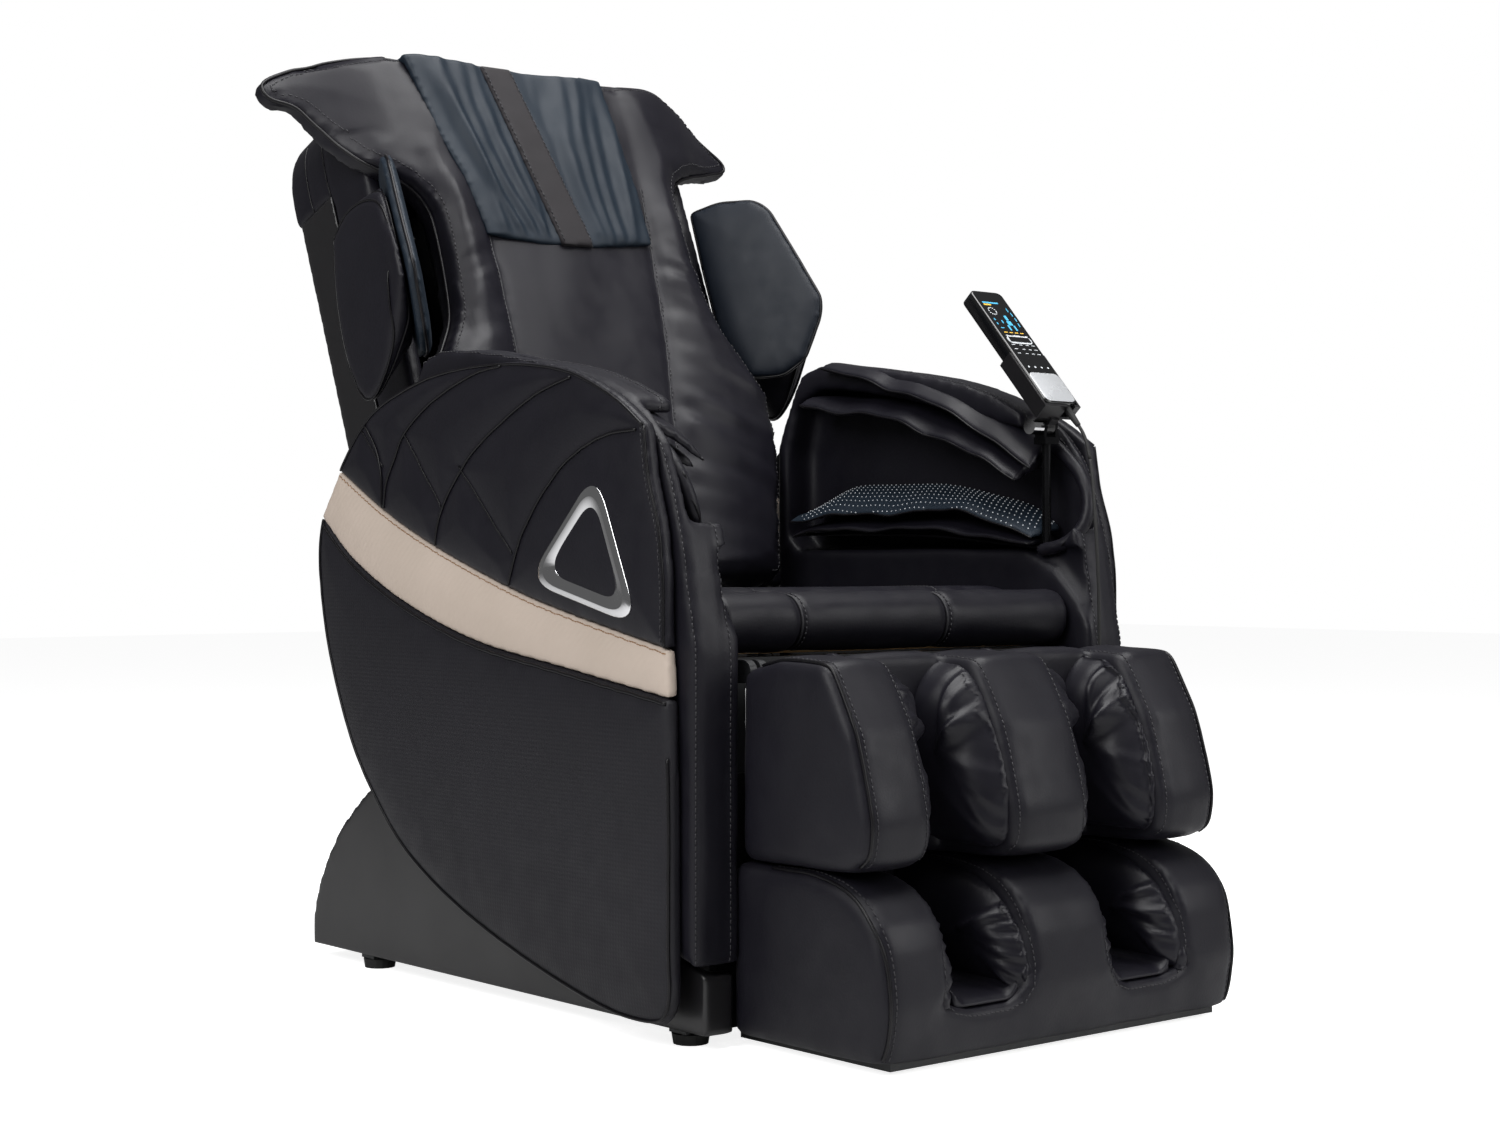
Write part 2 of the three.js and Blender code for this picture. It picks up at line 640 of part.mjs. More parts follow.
function backSurround() {
  const outer = acrossY(backOutline(0), SURROUND_FRONT, SHELL_FRONT - GAP);
  const inner = acrossY(backOutline(SURROUND), SURROUND_FRONT - 1, SHELL_FRONT);
  const openFoot = box(-BACK_HALF + SURROUND, BACK_HALF - SURROUND, SURROUND_FRONT - 1, SHELL_FRONT, 0, 200);
  const abovePivot = box(-BACK_HALF - 1, BACK_HALF + 1, SURROUND_FRONT - 1, SHELL_FRONT, 0, 100);
  const ring = cut(outer, inner, openFoot, abovePivot);
  const hood = cut(
    acrossY(backOutline(0), SURROUND_FRONT + 20, HOOD_REAR, 12),
    acrossY(backOutline(SURROUND), SURROUND_FRONT, HOOD_REAR - SURROUND),
    box(-BACK_HALF - 5, BACK_HALF + 5, -200, 300, 0, HOOD_SEAM + GAP),
  );
  return join(ring, hood);
}

// Front-view outline of the back cushion: hips, waist, and a hood with two pointed wings.
const WAIST = WING_CLEAR_RADIUS + 82; // the cushion is narrow from here up, beside the wings
function backPad() {
  const side = [
    [BACK_HALF - 55, 90],
    [BACK_HALF - 33, 250],
    [BACK_HALF - 33, WAIST - 90],
    [BACK_HALF - 67, WAIST],
    [BACK_HALF - 71, BACK_LENGTH - 262],
    [BACK_HALF - 65, BACK_LENGTH - 178],
    [BACK_HALF - 33, BACK_LENGTH - 142],
    [HOOD_HALF, BACK_LENGTH - 66],
    [HOOD_HALF - 8, BACK_LENGTH - 42],
    [HOOD_HALF - 78, BACK_LENGTH - 12],
    [HOOD_HALF - 208, BACK_LENGTH],
  ];
  const mirror = side.map(([x, z]) => [-x, z]).reverse();
  return acrossY(polygon([...side, ...mirror]), PAD_FRONT, PAD_FRONT + PAD_THICKNESS, 8);
}

const PILLOW = { bottomHalf: 132, topHalf: 168, bottom: BACK_LENGTH - 270, thickness: 14, topThickness: 6 };

function headPillow() {
  const top = BACK_LENGTH + GAP + PILLOW.topThickness;
  const front = PAD_FRONT - GAP - PILLOW.thickness;
  const face = polygon([
    [-PILLOW.bottomHalf, PILLOW.bottom],
    [PILLOW.bottomHalf, PILLOW.bottom],
    [PILLOW.topHalf, top],
    [-PILLOW.topHalf, top],
  ]);
  const onTop = box(-PILLOW.topHalf, PILLOW.topHalf, front + 2, PAD_FRONT + PAD_THICKNESS, BACK_LENGTH + GAP, top);
  return join(acrossY(face, front, PAD_FRONT - GAP), onTop);
}

// The wings fill the height between the arms' clear radius and the underside of the hood.
const WING_TOP = BACK_LENGTH - 214;
const WING_SHARE = (WING_TOP - WING_CLEAR_RADIUS) / 290;
const upWing = (z) => WING_CLEAR_RADIUS + (z - WING_CLEAR_RADIUS) * WING_SHARE;

// Side-view outline of a shoulder wing, kept clear of the arms by its distance from the pivot.
const WING = [
  [-178, 478],
  [-176, 548],
  [-128, 622],
  [-50, 648],
  [-14, 612],
  [-6, 470],
  [-30, WING_CLEAR_RADIUS + 8],
  [-90, WING_CLEAR_RADIUS + 20],
  [-160, 432],
].map(([y, z]) => [y, upWing(z)]);
const WING_LINER = BACK_HALF + 27; // centre line to the liner between a wing and its air cushion
const WING_HALF = WING_LINER + 41; // centre line to the outer face of a wing

// A wing's outer face is smaller than its inner one: its front is swept back.
const SWEEP = 55;
function wing() {
  const inner = WING.map(([y, z]) => [WING_LINER, y, z]);
  const middle = WING.map(([y, z]) => [WING_LINER + 18, y + (y < -100 ? 4 : 0), z]);
  const outer = WING.map(([y, z]) => [WING_HALF, y < -85 ? y + SWEEP : y - 12, z + (z > upWing(560) ? -10 : 10)]);
  const blade = geometryOf(wasm.Manifold.hull([...inner, ...middle, ...outer]));
  const root = box(BACK_HALF + GAP, WING_LINER + 10, -36, 24, upWing(440), upWing(590));
  return join(blade, root);
}

function wingCushion() {
  const outline = polygon(
    [
      [-186, 486],
      [-184, 556],
      [-136, 628],
      [-60, 640],
      [SURROUND_FRONT - GAP, 600],
      [SURROUND_FRONT - GAP, 420],
      [-96, 400],
      [-168, 440],
    ].map(([y, z]) => [y, upWing(z)]).reverse(),
  );
  return acrossX(outline, BACK_HALF - SURROUND + 4, WING_LINER - 3, 5);
}

function backRest() {
  add(back, "back_frame", backFrame(), STEEL);
  add(back, "back_shell", backShell(), PLASTIC);
  add(back, "back_surround", backSurround(), LEATHER);
  add(back, "back_pad", backPad(), LEATHER);
  add(back, "head_pillow", headPillow(), PERFORATED);
  addBoth(back, "shoulder_wing", wing(), LEATHER);
  addBoth(back, "shoulder_cushion", wingCushion(), PERFORATED);
}

// ---------------------------------------------------------------- massage unit
const CARRIAGE_HALF_HEIGHT = 60;
const CARRIAGE_PLATE = { front: 62, rear: 70 };
const SHAFT_HALF = 135;
const CHEEK = { in: 120, out: 128 }; // bearing plates that carry the kneading shaft

function carriage() {
  const low = CARRIAGE_Z - CARRIAGE_HALF_HEIGHT;
  const high = CARRIAGE_Z + CARRIAGE_HALF_HEIGHT;
  const { front, rear } = CARRIAGE_PLATE;
  const plate = box(-RAIL_X + 8, RAIL_X - 8, front, rear, low, high);
  const shoes = [low, high - 25].flatMap((z) => pair(RAIL_X - 12, RAIL_X - GAP, TUBE_FRONT + 4, rear - 4, z, z + 25));
  const cheeks = pair(CHEEK.in, CHEEK.out, SHAFT.y - 18, front + 1, CARRIAGE_Z - 22, CARRIAGE_Z + 22);
  const motor = rodX(28, -110, -24, rear + 27, CARRIAGE_Z + 25);
  const gearbox = box(28, 100, rear - 1, rear + 52, CARRIAGE_Z - 45, CARRIAGE_Z + 35);
  const nut = box(-18, 18, rear - 1, SCREW.y + 14, CARRIAGE_Z - 20, CARRIAGE_Z + 20);
  const screwHole = rodZ(SCREW.r + RUNNING, 0, SCREW.y, low, high);
  const shaftHole = rodX(SHAFT.r + RUNNING, -RAIL_X, RAIL_X, SHAFT.y, CARRIAGE_Z);
  return cut(join(plate, ...shoes, ...cheeks, motor, gearbox, nut), screwHole, shaftHole);
}

function kneadShaft() {
  const hubs = [-1, 1].map((side) =>
    rodX(
      HUB.r,
      side * HUB.x - HUB.width / 2,
      side * HUB.x + HUB.width / 2,
      SHAFT.y + side * HUB.offset,
      CARRIAGE_Z,
    ),
  );
  return join(rodX(SHAFT.r, -SHAFT_HALF, SHAFT_HALF, SHAFT.y, CARRIAGE_Z), ...hubs);
}

const ARM_PLATE = HUB.width - 6;
const ARM_RING = HUB.r + HUB.offset + 1; // bore that the eccentric hub turns in
function kneadArm() {
  const x0 = HUB.x - ARM_PLATE / 2;
  const x1 = HUB.x + ARM_PLATE / 2;
  const ring = rodX(ARM_RING + 8, x0, x1, SHAFT.y, CARRIAGE_Z, 24);
  const beam = box(x0, x1, ROLLER.y - 9, ROLLER.y + 11, CARRIAGE_Z - ROLLER.reach, CARRIAGE_Z + ROLLER.reach);
  const tips = [-1, 1].flatMap((side) => {
    const z = CARRIAGE_Z + side * ROLLER.reach;
    return [
      rodX(11, x0, x1, ROLLER.y, z),
      rodX(ROLLER.axle, x0 - 3 - ROLLER.width, x0 + 1, ROLLER.y, z),
    ];
  });
  return cut(join(ring, beam, ...tips), rodX(ARM_RING, x0 - 1, x1 + 1, SHAFT.y, CARRIAGE_Z, 24));
}

function roller() {
  const outer = HUB.x - ARM_PLATE / 2 - 2;
  const inner = outer - ROLLER.width;
  const bore = ROLLER.axle + RUNNING;
  const profile = [
    [bore, inner],
    [ROLLER.r - 9, inner],
    [ROLLER.r, inner + 7],
    [ROLLER.r, outer - 7],
    [ROLLER.r - 9, outer],
    [bore, outer],
    [bore, inner],
  ].map(([r, h]) => new THREE.Vector2(r, h));
  return new THREE.LatheGeometry(profile, ROUND).rotateZ(-Math.PI / 2);
}

function massageUnit() {
  add(back, "massage_carriage", carriage(), ZINC);
  add(back, "lead_screw", rodZ(SCREW.r, 0, SCREW.y, LOW_CROSS + 4, FRAME_LENGTH - 4), ZINC);
  add(back, "kneading_shaft", kneadShaft(), ZINC);
  addBoth(back, "kneading_arm", kneadArm(), STEEL);
  for (const [name, side] of [["upper", 1], ["lower", -1]]) {
    const ball = roller().translate(0, ROLLER.y, CARRIAGE_Z + side * ROLLER.reach);
    addBoth(back, `${name}_roller`, ball, NYLON);
  }
}

// ---------------------------------------------------------------- leg rest
const EAR_IN = EAR_OUT - 10;
const GUIDE = { bottom: 207, top: 330, half: 12 };

function legFrame() {
  const ears = [-EAR_OUT, EAR_IN].flatMap((x) => [
    rodX(13, x, x + 10, LEG_PIVOT.y, LEG_PIVOT.z),
    box(x, x + 10, CALF_REAR + GAP, LEG_PIVOT.y + 12, CALF_BOTTOM, LEG_PIVOT.z),
  ]);
  const plate = box(-EAR_OUT, EAR_OUT, CALF_REAR + GAP, CALF_REAR + 9, CALF_BOTTOM - 7, LEG_PIVOT.z - 16);
  const guides = pair(
    SLIDE.x - GUIDE.half,
    SLIDE.x + GUIDE.half,
    CALF_REAR + 8,
    SLIDE.y + GUIDE.half,
    GUIDE.bottom,
    GUIDE.top,
  );
  const lever = box(-5, 5, CALF_REAR + 8, LEG_LEVER.y + 10, LEG_LEVER.z - 10, LEG_LEVER.z + 10);
  const leverPin = rodX(ACTUATOR.pin, -18, 18, LEG_LEVER.y, LEG_LEVER.z);
  const body = join(plate, ...ears, ...guides, lever, leverPin);
  const pivotHole = rodX(LEG_PIVOT.pin + RUNNING, -SEAT_HALF, SEAT_HALF, LEG_PIVOT.y, LEG_PIVOT.z);
  const bores = [-1, 1].map((side) =>
    rodZ(SLIDE.r + RUNNING, side * SLIDE.x, SLIDE.y, GUIDE.bottom - 1, GUIDE.top + 1),
  );
  return cut(body, pivotHole, ...bores);
}
const LEG_LEVER = { y: LEG_PIVOT.y + 22, z: LEG_PIVOT.z - 58 };

// Side-view outlines of the calf rest and the foot rest.
function calfOutline() {
  return polygon([
    [CALF_REAR, CALF_BOTTOM],
    [CALF_REAR, LEG_PIVOT.z],
    [CALF_REAR - 60, LEG_PIVOT.z + 17],
    [CALF_REAR - 135, LEG_PIVOT.z + 14],
    [CALF_REAR - 178, LEG_PIVOT.z - 60],
    [CALF_REAR - 203, CALF_BOTTOM + 50],
    [CALF_REAR - 196, CALF_BOTTOM + 10],
    [CALF_REAR - 170, CALF_BOTTOM],
  ].reverse());
}

const FOOT_REST_BOTTOM = 16;
function footOutline() {
  const brow = through(
    [
      [FOOT_REST_FRONT, FOOT_REST_BOTTOM + 60],
      [FOOT_REST_FRONT + 14, 150],
      [FOOT_REST_FRONT + 60, 192],
      [FOOT_REST_FRONT + 130, FOOT_REST_TOP],
    ],
    8,
  );
  return polygon([
    [FOOT_REST_FRONT + 12, FOOT_REST_BOTTOM],
    ...brow,
    [FOOT_REST_REAR, FOOT_REST_TOP - 4],
    [FOOT_REST_REAR, FOOT_REST_BOTTOM],
  ].reverse());
}

function legRest() {
  add(chair, "leg_frame", legFrame(), STEEL);
  const calfChannels = pair(CHANNEL_IN, CHANNEL_OUT, -800, CALF_CHANNEL_BACK, CALF_BOTTOM - 1, LEG_PIVOT.z + 40);
  add(chair, "calf_rest", cut(acrossX(calfOutline(), -CALF_HALF, CALF_HALF, 6), ...calfChannels), LEATHER);
  const plate = box(-FOOT_HALF + 22, FOOT_HALF - 22, FOOT_REST_FRONT + 20, SLIDE.y + 6, 5, FOOT_REST_BOTTOM - GAP);
  const rods = [-1, 1].map((side) => rodZ(SLIDE.r, side * SLIDE.x, SLIDE.y, 6, 380));
  const studs = [-640, -470].flatMap((y) => [-160, 160].map((x) => rodZ(9, x, y, 0, 7)));
  add(chair, "foot_frame", join(plate, ...rods, ...studs), STEEL);
  const wells = pair(CHANNEL_IN + 6, CHANNEL_OUT + 2, -800, HEEL, SOLE, FOOT_REST_TOP + 10);
  add(chair, "foot_rest", cut(acrossX(footOutline(), -FOOT_HALF, FOOT_HALF, 6), ...wells), LEATHER);
}

// ---------------------------------------------------------------- actuators
// Drawn along +Y from where the body is held, then turned into place.
function place(geometry, { y, z, angle }) {
  return geometry.rotateX(rad(angle)).translate(0, y, z);
}

const BORE_START = 100;
function actuatorBody(site) {
  const tube = new THREE.CylinderGeometry(ACTUATOR.tube, ACTUATOR.tube, ACTUATOR.tubeLength, ROUND).translate(
    0,
    ACTUATOR.tubeLength / 2 - 12,
    0,
  );
  const motor = box(-16, 16, 0, 90, -ACTUATOR.tube - 26, -ACTUATOR.tube + 8);
  const trunnion = rodX(8, -TRUNNION_X + GAP, TRUNNION_X - GAP, 0, 0);
  const bore = new THREE.CylinderGeometry(ACTUATOR.rod + RUNNING, ACTUATOR.rod + RUNNING, 200, ROUND).translate(
    0,
    BORE_START + 100,
    0,
  );
  return place(cut(join(tube, motor, trunnion), bore), site);
}

function actuatorRod(site) {
  const length = site.length - 17 - BORE_START - 8;
  const rod = new THREE.CylinderGeometry(ACTUATOR.rod, ACTUATOR.rod, length, ROUND).translate(
    0,
    BORE_START + 8 + length / 2,
    0,
  );
  const eyeWidth = 8;
  const eye = [-1, 1].map((side) => rodX(ACTUATOR.eye, side * 12 - eyeWidth / 2, side * 12 + eyeWidth / 2, site.length, 0, 24));
  const bridge = box(-16, 16, site.length - ACTUATOR.eye - 8, site.length - ACTUATOR.eye + 4, -9, 9);
  const slot = box(-7, 7, site.length - ACTUATOR.eye - 1, site.length + 60, -60, 60);
  const bore = rodX(ACTUATOR.bore, -30, 30, site.length, 0, 24);
  return place(cut(join(rod, ...eye, bridge), slot, bore), site);
}

function actuators() {
  add(chair, "back_actuator", actuatorBody(BACK_ACTUATOR), ZINC);
  add(chair, "back_actuator_rod", actuatorRod(BACK_ACTUATOR), CHROME);
  add(chair, "leg_actuator", actuatorBody(LEG_ACTUATOR), ZINC);
  add(chair, "leg_actuator_rod", actuatorRod(LEG_ACTUATOR), CHROME);
}

// ---------------------------------------------------------------- remote control
const FORK = { half: 13, ear: 5, reach: 8 };

function pole() {
  const { x, y, z, bolt } = TILT_AXIS;
  const rod = rodZ(6, x, y, CHANNEL_FLOOR + GAP, z - 17);
  const seat = box(x - FORK.half, x + FORK.half, y - 10, y + 10, z - 22, z - 13);
  const ears = [x - FORK.half, x + FORK.half - FORK.ear].map((x0) =>
    box(x0, x0 + FORK.ear, y - FORK.reach, y + FORK.reach, z - 14, z + FORK.reach),
  );
  return cut(join(rod, seat, ...ears), rodX(bolt + RUNNING, x - 20, x + 20, y, z));
}

function holder() {
  const { half, front, back: rear, bottom } = REMOTE;
  const wall = CRADLE_WALL;
  const lugHalf = FORK.half - FORK.ear - GAP;
  const plate = box(-half - wall, half + wall, rear + 0.5, rear + 0.5 + wall, bottom - 1 - wall, 95);
  const sides = pair(half + 0.5, half + 0.5 + wall, front + 3, rear + 1, bottom - 1 - wall, 95);
  const floor = box(-half - wall, half + wall, front + 3, rear + 1, bottom - 1 - wall, bottom - 0.5);
  const lug = rodX(9, -lugHalf, lugHalf, 0, 0);
  const neck = box(-lugHalf, lugHalf, rear + 2, 0, -4, 22);
  const bolt = rodX(TILT_AXIS.bolt + RUNNING, -20, 20, 0, 0);
  const leadSlot = box(LEAD_OFFSET - 7, LEAD_OFFSET + 7, front - 1, rear + 0.4, bottom - 10, bottom + 1);
  return cut(join(plate, ...sides, floor, lug, neck), bolt, leadSlot);
}

// Keys stand 1 mm proud of the remote's face, in pockets that leave room for their travel.
const KEY = { z: 118, half: 19, height: 9, proud: 1, depth: 3 };

function remoteBody() {
  const { half, front, back: rear, bottom, length } = REMOTE;
  const face = new THREE.Shape();
  const r = 9;
  const top = bottom + length;
  face.moveTo(-half + r, bottom);
  face.lineTo(half - r, bottom);
  face.quadraticCurveTo(half, bottom, half, bottom + r);
  face.lineTo(half, top - r);
  face.quadraticCurveTo(half, top, half - r, top);
  face.lineTo(-half + r, top);
  face.quadraticCurveTo(-half, top, -half, top - r);
  face.lineTo(-half, bottom + r);
  face.quadraticCurveTo(-half, bottom, -half + r, bottom);
  const pocket = box(
    -KEY.half - RUNNING,
    KEY.half + RUNNING,
    front - 1,
    front + KEY.depth + 1,
    KEY.z - KEY.height / 2 - RUNNING,
    KEY.z + KEY.height / 2 + RUNNING,
  );
  return cut(acrossY(face, front, rear, 2), pocket);
}

// Route of the lead: from the boot's stub down in front of the arm, round a loop near the floor, and up to the
// gland in the arm's front.
const GLAND = { x: SEAT_HALF + 29, z: 144, r: 6, length: 9 };
const LEAD_ROUTE = [
  [312, -414.1, 711.6],
  [311.6, -420.4, 703.6],
  [310, -428.0, 691.0],
  [307, -437.0, 669.0],
  [302, -446.0, 640.0],
  [297, -453.5, 605.0],
  [294, -459.5, 565.0],
  [292.5, -463.5, 520.0],
  [292.3, -465.5, 460.0],
  [293, -466.0, 380.0],
  [294, -467.0, 300.0],
  [294.5, -468.0, 220.0],
  [294, -470.0, 150.0],
  [294.3, -472.5, 95.0],
  [297, -474.5, 58.0],
  [304, -476.0, 34.0],
  [313, -477.0, 26.5],
  [322, -478.0, 34.0],
  [327.5, -478.5, 56.0],
  [327, -478.5, 88.0],
  [322, -477.5, 118.0],
  [317, -474.0, 136.0],
  [314.5, -469.5, 142.8],
  [314, -465.8, 143.8],
];
const TOP_POINTS = 4; // the first points of the route are the piece that leaves the boot
const LEAD_GAP = 0.4;

function lead(points, steps) {
  const path = new THREE.CatmullRomCurve3(points.map((p) => new THREE.Vector3(...p)));
  const section = new THREE.Shape();
  section.absarc(0, 0, LEAD_RADIUS, 0, 2 * Math.PI);
  return new THREE.ExtrudeGeometry(section, { steps, curveSegments: 4, bevelEnabled: false, extrudePath: path });
}

// The lower piece starts a hair below the upper one's end.
function leadPieces() {
  const upper = LEAD_ROUTE.slice(0, TOP_POINTS);
  const [x, y, z] = upper[TOP_POINTS - 1];
  const lower = [[x - 0.1, y - LEAD_GAP / 2, z - LEAD_GAP], ...LEAD_ROUTE.slice(TOP_POINTS)];
  return [lead(upper, 6), lead(lower, 70)];
}

// The boot leaves the remote's bottom along its length and ends in a short stub of the lead.
function boot() {
  const { bottom, front, back: rear } = REMOTE;
  const y = (front + rear) / 2;
  const body = rodZ(3.4, LEAD_OFFSET, y, bottom - 30, bottom - 0.4, 12, 5.4);
  return join(body, rodZ(LEAD_RADIUS, LEAD_OFFSET, y, bottom - 32, bottom - 29, 8));
}

function remote() {
  const { x, y, z, bolt } = TILT_AXIS;
  add(chair, "remote_pole", pole(), ZINC);
  add(handset, "remote_holder", holder(), PLASTIC);
  const knob = join(
    rodX(bolt, x - FORK.half - 3, x + FORK.half + 6, y, z),
    rodX(10, x - FORK.half - 19, x - FORK.half - GAP, y, z, 18),
  );
  add(chair, "holder_knob", knob, CHROME);
  add(handset, "remote_body", remoteBody(), RUBBER);
  const key = box(
    -KEY.half,
    KEY.half,
    REMOTE.front - KEY.proud,
    REMOTE.front + KEY.depth - 1,
    KEY.z - KEY.height / 2,
    KEY.z + KEY.height / 2,
  );
  add(handset, "rocker_key", key, ZINC);
  add(handset, "lead_boot", boot(), RUBBER);
  const [upper, lower] = leadPieces();
  const gland = rodX(GLAND.r, 0, GLAND.length, 0, 0, 16).rotateZ(Math.PI / 2);
  gland.translate(GLAND.x, ARM_FRONT - RUNNING - GLAND.length, GLAND.z);
  add(chair, "lead_gland", gland, RUBBER);
  add(chair, "remote_lead", lower, RUBBER);
  add(chair, "remote_lead_top", upper, RUBBER);
}

base();
seat();
arms();
backRest();
massageUnit();
legRest();
actuators();
remote();

// The origin is on the floor, below the middle of the chair.
chair.updateMatrixWorld(true);
const bounds = new THREE.Box3().setFromObject(chair);
chair.position.set(0, -(bounds.min.y + bounds.max.y) / 2, -bounds.min.z);

export default chair;
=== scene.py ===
"""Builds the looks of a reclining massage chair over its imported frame.

Every outline is given in shop millimetres, the frame that the chair's parts are drawn in: X to the sitter's
left, -Y to the front, Z up from the floor. The back and the handset have frames of their own, turned about
their pivots. A Datum turns shop millimetres into the row frame's metres.
"""

from __future__ import annotations

import json
import logging
import math
from dataclasses import dataclass
from enum import Enum
from typing import Callable, Iterable, Sequence

